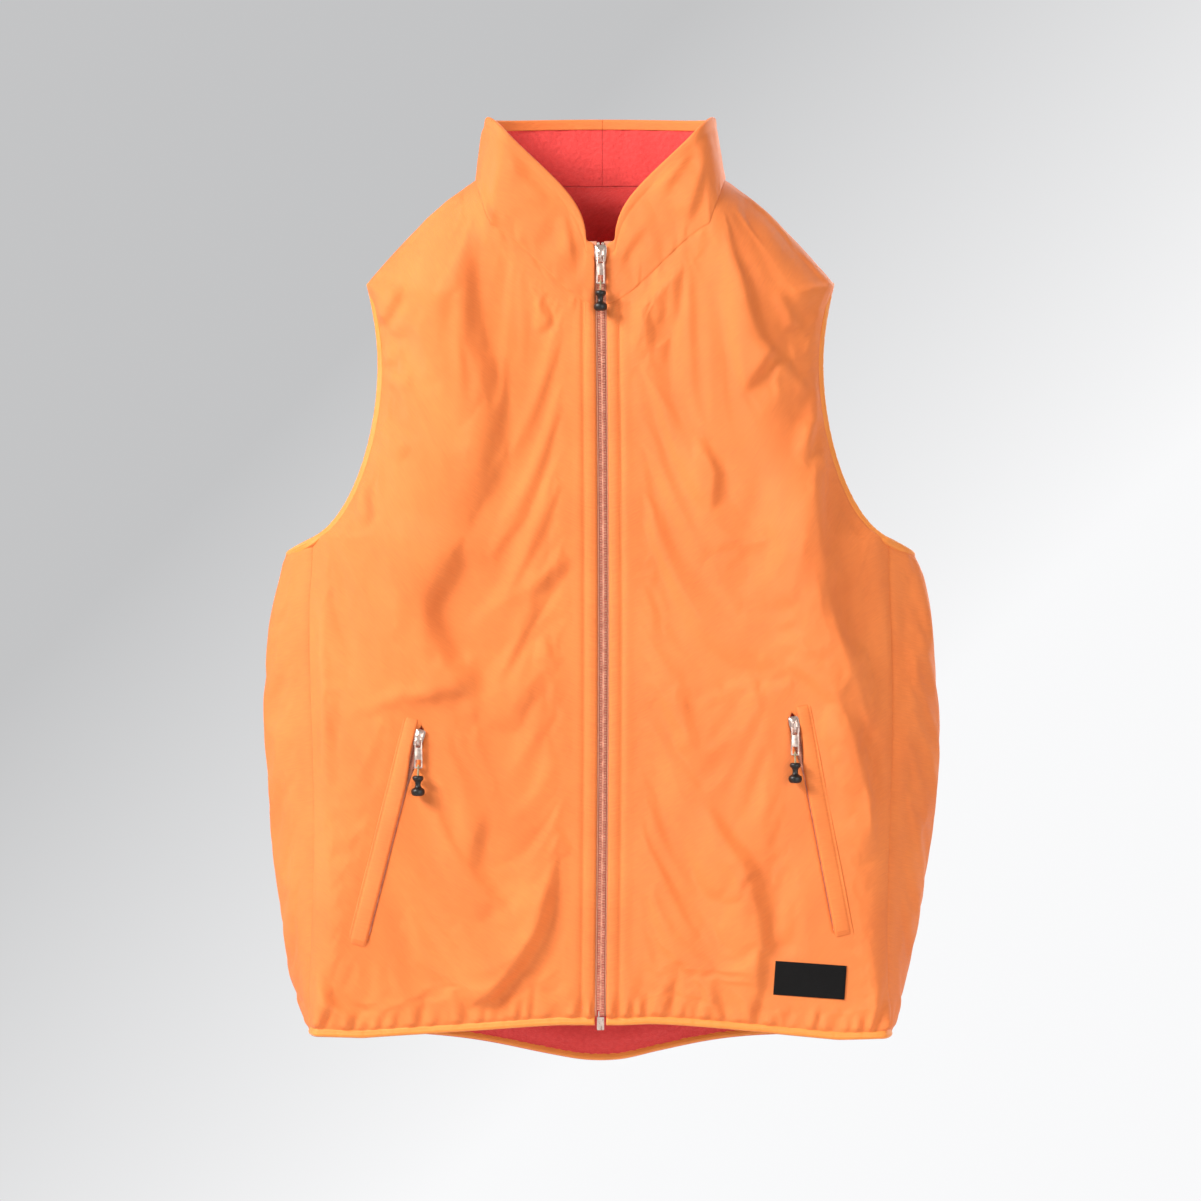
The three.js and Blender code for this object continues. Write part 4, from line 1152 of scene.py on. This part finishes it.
def make_collar(side):
    """The shell runs up the outside, over the top edge and a little way down the inside."""
    name = NAMES[side]
    rise = COLLAR_THICK / 2
    outside = Patch(run_on(collar_grid(), top=True, finish=True), side)
    x, z = outside.x, outside.z
    lift = billows(outside.start, z, 35 + side, 46, 1.0, tall=0.8)
    lift += billows(outside.start, z, 37 + side, 17, 0.22)
    lift *= smooth(outside.start, 3, 20) * smooth(outside.top, 2, 18) * smooth(outside.bottom, 2, 14)
    lift *= smooth(outside.finish, 3, 20)
    if side < 0:
        lift -= UNDERLAP * (1 - smooth(outside.finish, 2, 5))
    ahead = smooth(-outside.grid[..., 1], 0, 25) * smooth(outside.bottom, 2, 14)
    for points, depth, sharp, soft in COLLAR_FOLDS[side]:
        lift += fold(x, z, points, depth, sharp, soft) * ahead
    lift += gathers(outside.start, outside.top, 38 + side, spacing=22, reach=(6, 18), depth=0.8, clear=2)
    lift += tuck_under(outside.top)
    lift -= 0.7 * np.exp(-(((outside.bottom - 7) / 1.3) ** 2))
    lift -= 0.6 * np.exp(-((outside.start / 1.0) ** 2))
    outside.lift = lift
    body = outside.points()
    up = unit(body[-1] - body[-2])
    over = []
    for turn in np.radians([30, 60, 90, 120, 150, 180]):
        over.append(body[-1] - outside.normal[-1] * rise * (1 - math.cos(turn)) + up * rise * math.sin(turn))
    rolled = over[-1]
    for down in (1.5, 3.5, 5.5, FACING_WIDE):
        over.append(rolled - up * down)
    points = np.concatenate([body, np.array(over)])
    whole = Patch(points)
    along = np.broadcast_to(outside.start[0], whole.top.shape)
    faces = grid_faces(*whole.top.shape, flip=outside.turned)
    mesh = mesh_of(f"collar_{name}_cloth", points, faces, np.stack([along, whole.top], -1))
    piece = thickened(refined(link(f"collar_{name}_cloth", mesh, SHELL)), SHELL_THICK)
    sheet_of(whole)
    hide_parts(f"collar_front_{name}", *(["collar_shell"] if side > 0 else []))
    flap_blend(piece)
    inner = Patch(run_on(collar_grid(edge=ZIP_EDGE + 2.0, heights=eased(16, 0.3) * 0.95), finish=True), side)
    inner.lift = -2.5 + billows(inner.start, inner.z, 39 + side, 30, 0.3) * smooth(inner.finish, 3, 20)
    if side < 0:
        inner.lift -= UNDERLAP * (1 - smooth(inner.finish, 2, 5))
    fleece_piece = refined(cloth_piece(f"collar_lining_{name}_fleece", inner, LINING))
    thickened(fleece_piece, COLLAR_FLEECE_THICK)
    sheet_of(inner)
    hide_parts(f"collar_lining_front_{name}", *(["collar_lining"] if side > 0 else []))
    flap_blend(fleece_piece)


# ---- Elastic edging ----
EDGING_STEP = 1.6  # from one ring of points to the next along an edging


def swept(name, path, material, closed=False):
    """A skin over rings of points, path being rings x points x 3, with capped ends or closed into a loop."""
    rings, around = path.shape[:2]
    points = path.reshape(-1, 3)
    faces = grid_faces(rings, around, wrap=True).tolist()
    if closed:
        last = (rings - 1) * around
        faces += [[last + k, last + (k + 1) % around, (k + 1) % around, k] for k in range(around)]
    else:
        faces += [list(range(around))[::-1], [(rings - 1) * around + k for k in range(around)]]
    along, girth = run_along(path.mean(1)), run_along(path[0])
    uv = np.stack(np.broadcast_arrays(along[:, None], girth[None, :]), -1)
    mesh = mesh_of(name, points, faces, uv)
    bm = bmesh.new()
    bm.from_mesh(mesh)
    bmesh.ops.recalc_face_normals(bm, faces=bm.faces)
    bm.to_mesh(mesh)
    bm.free()
    mesh.shade_smooth()
    return link(name, mesh, material)


def edging(name, line, outs, closed, seed):
    """Elastic folded over an edge: flat where it is stitched down, round on the outside, lightly rippled."""
    count = int(np.linalg.norm(np.diff(line, axis=0), axis=1).sum() / EDGING_STEP)
    shares = np.linspace(0, 1, count, endpoint=not closed)
    if closed:
        line = np.concatenate([line, line[:1]])
        outs = np.concatenate([outs, outs[:1]])
    run = run_along(line)
    wanted = shares * run[-1]
    p = values_at(line, run, wanted)
    out = values_at(outs, run, wanted)
    ahead = unit((np.roll(p, -1, 0) - np.roll(p, 1, 0)) if closed else np.gradient(p, axis=0))
    out = unit(out - ahead * (out * ahead).sum(1, keepdims=True))
    off = np.cross(out, ahead)
    draw = np.random.default_rng(seed)
    ripple = np.zeros(count)
    for pitch in (3.1, 4.7, 7.9, 13.0):
        ripple += np.sin(wanted / pitch * 2 * np.pi + draw.uniform(0, 6.3)) * draw.uniform(0.5, 1)
    wander = np.sin(wanted / 37 + draw.uniform(0, 6)) * 0.5 + np.sin(wanted / 17 + draw.uniform(0, 6)) * 0.3
    middle = p - out * CLOTH_DEPTH / 2 - off * BIND_WIDE / 2
    thick = CLOTH_DEPTH / 2 + BIND_PROUD
    rings = []
    for turn in np.linspace(0, 2 * np.pi, 28, endpoint=False):
        a = math.copysign(abs(math.cos(turn)) ** 0.7, math.cos(turn))
        b = math.copysign(abs(math.sin(turn)) ** 0.8, math.sin(turn))
        taper = lerp(0.72, 1.0, (b + 1) / 2) if b < 0.3 else 1.0
        stitch = 0.25 * math.exp(-(((b + 0.55) / 0.14) ** 2))
        lift = thick * a * taper + math.copysign(1, a) * (0.09 * ripple - stitch)
        shift = b * BIND_WIDE / 2 + 0.12 * wander
        rings.append(middle + out * np.reshape(lift, (-1, 1)) + off * shift[:, None])
    return hang(swept(name, np.stack(rings, 1), BINDING, closed))


def edge_normals(surface, v):
    """The outward normals where a panel meets its outer edge."""
    inner, outer = surface(0.97 + 0 * v, v), surface(1 + 0 * v, v)
    out = np.cross(outer - inner, np.gradient(outer, axis=0))
    out *= np.sign(out[:, :1] * 0.3 + out[:, 1:2] * outer[:, 1:2] / 20)
    return unit(out)


def armhole_line():
    t = np.concatenate([np.linspace(0, 0.12, 14)[:-1], np.linspace(0.12, 1, 60)])
    tip = np.array([0.69, 0, 0.72])
    v = lerp(SHOULDER_END, ARMHOLE_END, t)
    front, rear = panel_edge(v, -1), panel_edge(v, 1)
    blend = smooth(t, 0.04, 0.25)[:, None]
    front_out = lerp(tip, edge_normals(front_outer, v), blend)
    rear_out = lerp(tip, edge_normals(back_at, v), blend)
    u = np.linspace(0, 1, 40)[1:-1]
    under = side_panel(u, 0 * u)
    turn = 2 * u - 1
    under_out = xyz(1 - 0.6 * turn**2, 0.9 * turn, 0 * u)
    line = np.concatenate([front, under, rear[::-1][:-1]])
    outs = np.concatenate([front_out, under_out, rear_out[::-1][:-1]])
    for _ in range(10):
        outs = (np.roll(outs, 1, 0) + outs + np.roll(outs, -1, 0)) / 3
        line[1:-1] = lerp(line[1:-1], (line[:-2] + line[2:]) / 2, 0.4)
    return line, unit(outs)


def hem_front_line():
    """From the zip round to the side panel's middle."""
    x = np.linspace(ZIP_EDGE, fold_x(HEM_SIDE[-1]), 60)
    flat = xyz(x, -FRONT_DEPTH, hem_front_z(x))
    u = np.linspace(0, 1, 14)[1:]
    curve = front_outer(u, 1 + 0 * u)
    s = np.linspace(0, 0.5, 24)[1:]
    return np.concatenate([flat, curve, side_panel(s, 1 + 0 * s)])


def hem_back_line():
    s = np.linspace(0.5, 1, 24)
    half = side_panel(s, 1 + 0 * s)
    across = np.sin(np.linspace(1, -1, 120)[1:-1] * np.pi / 2)
    rear = back_at(across, 1 + 0 * across)
    return np.concatenate([half, rear, half[::-1] * [-1, 1, 1]])


def level_outs(line):
    """Outward normals of a line that runs level round the vest."""
    ahead = np.gradient(line, axis=0)
    out = np.cross(ahead, [0, 0, 1.0])
    out *= np.sign((out[:, :2] * line[:, :2]).sum(1))[:, None]
    for _ in range(4):
        out[1:-1] = (out[:-2] + out[1:-1] + out[2:]) / 3
    return unit(out)


def make_edgings():
    line, outs = armhole_line()
    for side in (1, -1):
        mirror = np.array([side, 1, 1])
        order = slice(None) if side > 0 else slice(None, None, -1)
        name = f"armhole_edging_{NAMES[side]}"
        piece = edging(name, (line * mirror)[order], (outs * mirror)[order], True, 5 + side)
        stand_for(piece, "root", "binding", f"armhole_binding_{NAMES[side]}")
        front = hem_front_line()
        order = slice(None, None, -1) if side > 0 else slice(None)
        outward = (level_outs(front) * mirror)[order]
        piece = edging(f"hem_edging_{NAMES[side]}", (front * mirror)[order], outward, False, 8 + side)
        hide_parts(f"hem_binding_front_{NAMES[side]}")
        flap_blend(piece)
    rear = hem_back_line()[::-1]
    piece = edging("hem_edging_back", rear, level_outs(rear), False, 11)
    stand_for(piece, "root", "binding", "hem_binding_back")


# ---- Zips ----
TAPE_DEPTH = 1.4
TAPE_THICK = 0.6
CHAIN_MIDDLE = 1.4  # behind the shell's face
MAIN_TOP = -44.0
TAPE_FOOT = -694.4
PITCH = 1.35


def strip(name, x0, x1, z0, z1, y, place, edge):
    """A flat woven band with a raised selvedge, in many small steps so that it can bow."""
    xs = np.linspace(x0, x1, 12)
    zs = np.linspace(z0, z1, max(2, int(abs(z1 - z0) / 4)))
    grid = xyz(*np.meshgrid(xs, [y], zs, indexing="ij"))[:, 0].transpose(1, 0, 2)
    grid[..., 1] -= edge * np.exp(-(((grid[..., 0] - x0) / 0.8) ** 2))
    uv = grid[..., [0, 2]].copy()
    faces = grid_faces(*grid.shape[:2], flip=(x1 > x0) == (z1 < z0))
    return thickened(link(name, mesh_of(name, place(grid), faces, uv), TAPE), TAPE_THICK)


def tooth_shape(half):
    """One turn of coil as a bent rod: from the tape out to the middle, and back behind."""
    radius = 0.36
    rear = [(half, 0.55), (half * 0.6, 0.75), (0.25, 0.7), (-0.35, 0.45), (-0.62, 0)]
    line = np.array([(x, y, 0) for x, y in rear] + [(x, -y, 0) for x, y in rear[-2::-1]])
    ahead = unit(np.gradient(line, axis=0))
    up = np.array([0, 0, 1.0])
    aside = np.cross(ahead, up)
    rings = []
    for turn in np.linspace(0, 2 * np.pi, 6, endpoint=False):
        rings.append(line + radius * (math.cos(turn) * aside + math.sin(turn) * up * 1.15))
    return np.stack(rings, 1)


def chain_piece(name, half, top, foot, middle_y, sides, place):
    """Rows of coil turns; a row for each side given, half a pitch apart."""
    shape = tooth_shape(half)
    rings, around = shape.shape[:2]
    base = grid_faces(rings, around, wrap=True)
    points, faces = [], []
    size = rings * around
    n = 0
    for side in sides:
        for z in np.arange(top - (0.5 * PITCH if side > 0 else 0), foot, -PITCH):
            one = shape.reshape(-1, 3) * [side, 1, 1] + [0, middle_y, z]
            points.append(one)
            faces.append((base if side > 0 else base[:, ::-1]) + n * size)
            n += 1
    mesh = mesh_of(name, place(np.concatenate(points)), np.concatenate(faces))
    return link(name, mesh, COIL)


def make_metal(node, name, width):
    """A metal piece with the CAD node's shape and its edges rounded off."""
    source = frame["nodes"][node]
    mesh = source.data.copy()
    mesh.materials.clear()
    bm = bmesh.new()
    bm.from_mesh(mesh)
    bmesh.ops.remove_doubles(bm, verts=bm.verts, dist=1e-6)
    bmesh.ops.dissolve_limit(bm, angle_limit=math.radians(2), verts=bm.verts, edges=bm.edges)
    sharp = [e for e in bm.edges if e.is_manifold and e.calc_face_angle(0) > math.radians(28)]
    bmesh.ops.bevel(bm, geom=sharp, offset=width * MM, segments=2, affect="EDGES", clamp_overlap=True)
    bmesh.ops.triangulate(bm, faces=[f for f in bm.faces if len(f.verts) > 4])
    bm.to_mesh(mesh)
    bm.free()
    mesh.shade_smooth()
    mesh.set_sharp_from_angle(angle=math.radians(38))
    stand_for(link(name, mesh, METAL), source["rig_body"], "zip_metal", node)


# Shares of the knob's radius and of its height, from the top down.
KNOB_PROFILE = (
    (0.0, 0.0), (0.28, 0.02), (0.62, 0.0), (0.78, 0.05), (0.82, 0.12), (0.74, 0.2),
    (0.52, 0.27), (0.42, 0.36), (0.4, 0.46), (0.47, 0.55), (0.68, 0.61), (0.92, 0.67),
    (1.0, 0.76), (0.97, 0.86), (0.82, 0.95), (0.55, 0.99), (0.0, 1.0),
)


def make_knob(node, name, body):
    """A turned knob: a flange on top, a narrow waist and a rounded foot."""
    low, high = box_of(node)
    middle, height, radius = (low + high) / 2, high[2] - low[2], (high[0] - low[0]) / 2
    profile = curve_through(KNOB_PROFILE, per=4)
    turns = np.linspace(0, 2 * np.pi, 40, endpoint=False)
    rings = []
    for share, h in profile:
        r = radius * max(share, 0.003)
        rings.append(xyz(middle[0] + r * np.cos(turns), middle[1] + r * np.sin(turns), high[2] - height * h))
    piece = swept(name, np.array(rings), KNOB)
    stand_for(piece, body, "knob", node)
    return piece


CORD_RADIUS = 0.75


def make_pull_cord(prefix, suffix, body):
    """A loop through the tab's foot with both legs running down inside the knob."""
    low, high = box_of(f"{prefix}_tab{suffix}")
    knob_low, knob_high = box_of(f"{prefix}_knob{suffix}")
    x = (low[0] + high[0]) / 2
    tab_y = (low[1] + high[1]) / 2
    knob_y = (knob_low[1] + knob_high[1]) / 2
    bar = low[2] + 0.7
    reach = 1.9  # from the bar's middle to the cord's
    mouth = knob_high[2]
    inside = mouth - 12
    legs = 1.25  # half the distance between the cord's two legs in the knob
    rear, fore = knob_y + legs, knob_y - legs
    points = [(rear, inside), (rear, inside + 5), (rear, mouth - 1), (rear + 0.6, mouth + 2)]
    points += [(tab_y + reach, bar - 1.5), (tab_y + reach, bar)]
    for turn in np.radians([45, 90, 135]):
        points.append((tab_y + reach * math.cos(turn), bar + reach * math.sin(turn)))
    points += [(tab_y - reach, bar), (tab_y - reach - 0.1, bar - 1.5)]
    points += [(fore - 0.1, mouth + 2), (fore, mouth - 1), (fore, inside + 5), (fore, inside)]
    line = curve_through([(x, y, z) for y, z in points], per=6)
    ahead = unit(np.gradient(line, axis=0))
    aside = np.array([1.0, 0, 0])
    up = np.cross(ahead, aside)
    rings = [line + CORD_RADIUS * (math.cos(a) * aside + math.sin(a) * up)
             for a in np.linspace(0, 2 * np.pi, 10, endpoint=False)]
    name = f"{prefix}_pull_cord{suffix}"
    piece = swept(name, np.stack(rings, 1), CORD)
    stand_for(piece, body, "pull_cord", f"{prefix}_cord{suffix}")
    knob = make_knob(f"{prefix}_knob{suffix}", f"{prefix}_pull_knob{suffix}", body)


def make_main_zip():
    y = -FRONT_DEPTH
    for side in (1, -1):
        name = NAMES[side]
        body = f"{name}_front"
        tape = strip(f"main_tape_{name}_woven", side * 3.2, side * 15.3, MAIN_TOP + 1, TAPE_FOOT,
                     y + TAPE_DEPTH, hung, 0.3)
        stand_for(tape, body, "zip_tape", f"main_tape_{name}")
        low, high = box_of(f"main_chain_{name}")
        chain = chain_piece(f"main_coil_{name}", 2.9, high[2], low[2], y + CHAIN_MIDDLE, (side,), hung)
        stand_for(chain, body, "zip_coil", f"main_chain_{name}")
        make_metal(f"main_top_stop_{name}", f"main_stop_{name}_metal", 0.3)
    for part, width in (("slider", 0.28), ("tab", 0.22), ("retainer_box", 0.3), ("insertion_pin", 0.25)):
        make_metal(f"main_{part}", f"main_{part}_metal", width)
    make_pull_cord("main", "", "main_pull")


def make_pocket(side):
    name = NAMES[side]

    def place(points):
        moved = points.copy()
        moved[..., 0], moved[..., 2] = pocket_place(side, points[..., 0], -points[..., 2])
        return moved

    y = -FRONT_DEPTH
    body = f"{name}_front"
    for part, way in (("outer", 1), ("inner", -1)):
        tape = strip(f"pocket_tape_{part}_{name}_woven", way * 2.4, way * 11.4, -0.5, -POCKET_LENGTH,
                     y + TAPE_DEPTH + 0.4, place, 0.2)
        stand_for(tape, body, "zip_tape", f"pocket_tape_{part}_{name}")
    foot = 2.5 - POCKET_LENGTH
    chain = chain_piece(f"pocket_coil_{name}", 2.1, -8.8, foot, y + CHAIN_MIDDLE + 0.2, (1, -1), place)
    stand_for(chain, body, "zip_coil", f"pocket_chain_{name}")
    for part, width in (("stop", 0.3), ("slider", 0.28), ("tab", 0.22)):
        node = f"pocket_{part}_{name}"
        make_metal(node, f"{node}_metal", width)
    make_pull_cord("pocket", f"_{name}", f"pocket_pull_{name}")
    make_welt(side, place)
    make_bag(side, place)


def make_welt(side, place):
    """A folded strip of shell along the slit's outer side, free at the slit and stitched down beyond it."""
    name = NAMES[side]
    rows, columns = 110, 22
    down = lerp(-5, POCKET_LENGTH + 5, eased(rows, 0.8))[:, None]
    share = np.linspace(0, 1, columns)[None, :]
    near = 0.6 + 3.6 * (1 - smooth(down, 18, 52))
    out = lerp(near, 16.5, share)
    crown = np.clip(np.sin(np.clip(share * 1.2, 0, 1) * np.pi), 0, 1) ** 0.7
    rise = 0.35 + 0.7 * crown + 1.5 * (1 - share) ** 0.6
    ends = smooth(down, -5, 1) * (1 - smooth(down, POCKET_LENGTH, POCKET_LENGTH + 5))
    rise = rise * lerp(0.35, 1, ends) + 0.1 * np.sin(down / 9 + 3 * share)
    rise = rise - 0.45 * np.exp(-(((share - 0.86) / 0.05) ** 2))
    lip = np.exp(-((share / 0.05) ** 2))
    grid = xyz(out, -FRONT_DEPTH - rise + 1.1 * lip, -down)
    uv = np.stack(np.broadcast_arrays(out, -down), -1)
    faces = grid_faces(rows, columns, flip=side > 0)
    piece = link(f"pocket_welt_{name}_cloth", mesh_of("welt", place(grid), faces, uv), SHELL)
    thickened(piece, PATCH_THICK)
    sheet_of(Patch(place(grid)))
    stand_for(piece, f"{name}_front", "shell", f"pocket_welt_{name}")


def make_bag(side, place):
    """The pocket's pouch between shell and lining."""
    name = NAMES[side]
    low, high = box_of(f"pocket_bag_{name}")
    corners = np.array([(8, 16), (-69, 4), (-92, -202), (-62, -232), (8, -208)], float)
    rounding = 18
    ring = []
    for i, corner in enumerate(corners):
        enter = corner + unit(corners[i - 1] - corner) * rounding
        leave = corner + unit(corners[(i + 1) % len(corners)] - corner) * rounding
        for t in np.linspace(0, 1, 9):
            ring.append(enter * (1 - t) ** 2 + 2 * corner * t * (1 - t) + leave * t * t)
    ring = np.array(ring)
    centre = ring.mean(0)
    middle = (low[1] + high[1]) / 2
    rings = []
    for turn in np.linspace(-np.pi / 2, np.pi / 2, 15):
        grown = centre + (ring - centre) * max(math.cos(turn), 0.02) ** 0.35
        rings.append(xyz(grown[:, 0], middle - 0.38 * math.sin(turn), grown[:, 1]))
    piece = swept(f"pocket_bag_{name}_cloth", place(np.array(rings)), LINING)
    stand_for(piece, f"{name}_front", "lining", f"pocket_bag_{name}")


# ---- Stitching ----
ZIP_STITCHING = 11.0  # from the front's edge


def stitches(name, line, outs, body, length=2.4, gap=0.9, radius=0.24):
    """A row of single thread stitches along a line on the cloth."""
    run = run_along(line)
    starts = np.arange(0.5, run[-1] - length, length + gap)
    turns = np.linspace(0, 2 * np.pi, 6, endpoint=False)
    profile = ((0.0, 0.25, -0.3), (0.12, 0.8, 0.0), (0.5, 1.0, 0.12), (0.88, 0.8, 0.0), (1.0, 0.25, -0.3))
    points, faces = [], []
    base = grid_faces(len(profile), len(turns), wrap=True)
    for n, begin in enumerate(starts):
        a, b = values_at(line, run, begin), values_at(line, run, begin + length)
        out = values_at(outs, run, begin)
        aside = np.cross(unit(b - a), out)
        for share, width, rise in profile:
            centre = lerp(a, b, share) + out * rise
            for turn in turns:
                points.append(centre + radius * width * (math.cos(turn) * aside + math.sin(turn) * out))
        faces.append(base + n * len(profile) * len(turns))
    piece = link(name, mesh_of(name, np.array(points), np.concatenate(faces)), THREAD)
    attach(piece, body)


def make_stitching():
    for side in (1, -1):
        patch = Patch(front_grid(), side)
        patch.lift = front_lift(patch, side)
        points = hung(patch.points())
        column = int(np.argmin(np.abs(patch.start[80] - ZIP_STITCHING)))
        outs = patch.normal[2:-4, column]
        stitches(f"zip_stitching_{NAMES[side]}", points[2:-4, column], outs, f"{NAMES[side]}_front")


# ---- Label ----
def make_label():
    low, high = box_of("hem_label")
    middle = (low + high) / 2
    wide, tall, turn = 60.0, 28.5, math.radians(-4)
    rows, columns = 22, 44
    sx, sz = np.meshgrid(np.linspace(-0.5, 0.5, columns), np.linspace(0.5, -0.5, rows))
    x, z = sx * wide, sz * tall
    rim = np.minimum(wide / 2 - np.abs(x), tall / 2 - np.abs(z))
    rise = 0.55 + 0.25 * smooth(rim, 0, 1.2) - 0.22 * np.exp(-(((rim - 2.0) / 0.5) ** 2))
    rise += 0.35 * np.sin(x / 21 + 0.6) * np.cos(z / 19)
    px = middle[0] + x * math.cos(turn) - z * math.sin(turn)
    pz = middle[2] + x * math.sin(turn) + z * math.cos(turn)
    grid = xyz(px, -FRONT_DEPTH - rise, pz)
    uv = np.stack([x, z], -1)
    mesh = mesh_of("hem_label_woven", grid, grid_faces(rows, columns, flip=True), uv)
    piece = link("hem_label_woven", mesh, LABEL)
    thickened(refined(piece), PATCH_THICK)
    sheet_of(Patch(grid))
    stand_for(piece, "left_front", "label", "hem_label")


FLOOR_Z = -1180.0


def make_floor():
    """A round pale floor far below the hanging vest."""
    turns = np.linspace(0, 2 * np.pi, 96, endpoint=False)
    rings = [xyz(r * np.cos(turns), r * np.sin(turns), FLOOR_Z - 0 * turns) for r in (1, 500, 1000, 1300)]
    s = Shader("floor_paint", linear(210, 210, 213), 0.7)
    s.tint(s.noise(3, 4, flat=False), linear(204, 204, 207), linear(214, 214, 217))
    mesh = mesh_of("floor", np.array(rings), grid_faces(4, 96, wrap=True))
    floor = link("floor", mesh, s.material)


make_camera()
make_studio()
make_floor()
for each_side in (1, -1):
    make_front(each_side)
    make_front_lining(each_side)
    make_side(each_side)
    make_collar(each_side)
    make_pocket(each_side)
make_back()
make_back_lining()
make_edgings()
make_main_zip()
make_stitching()
make_label()
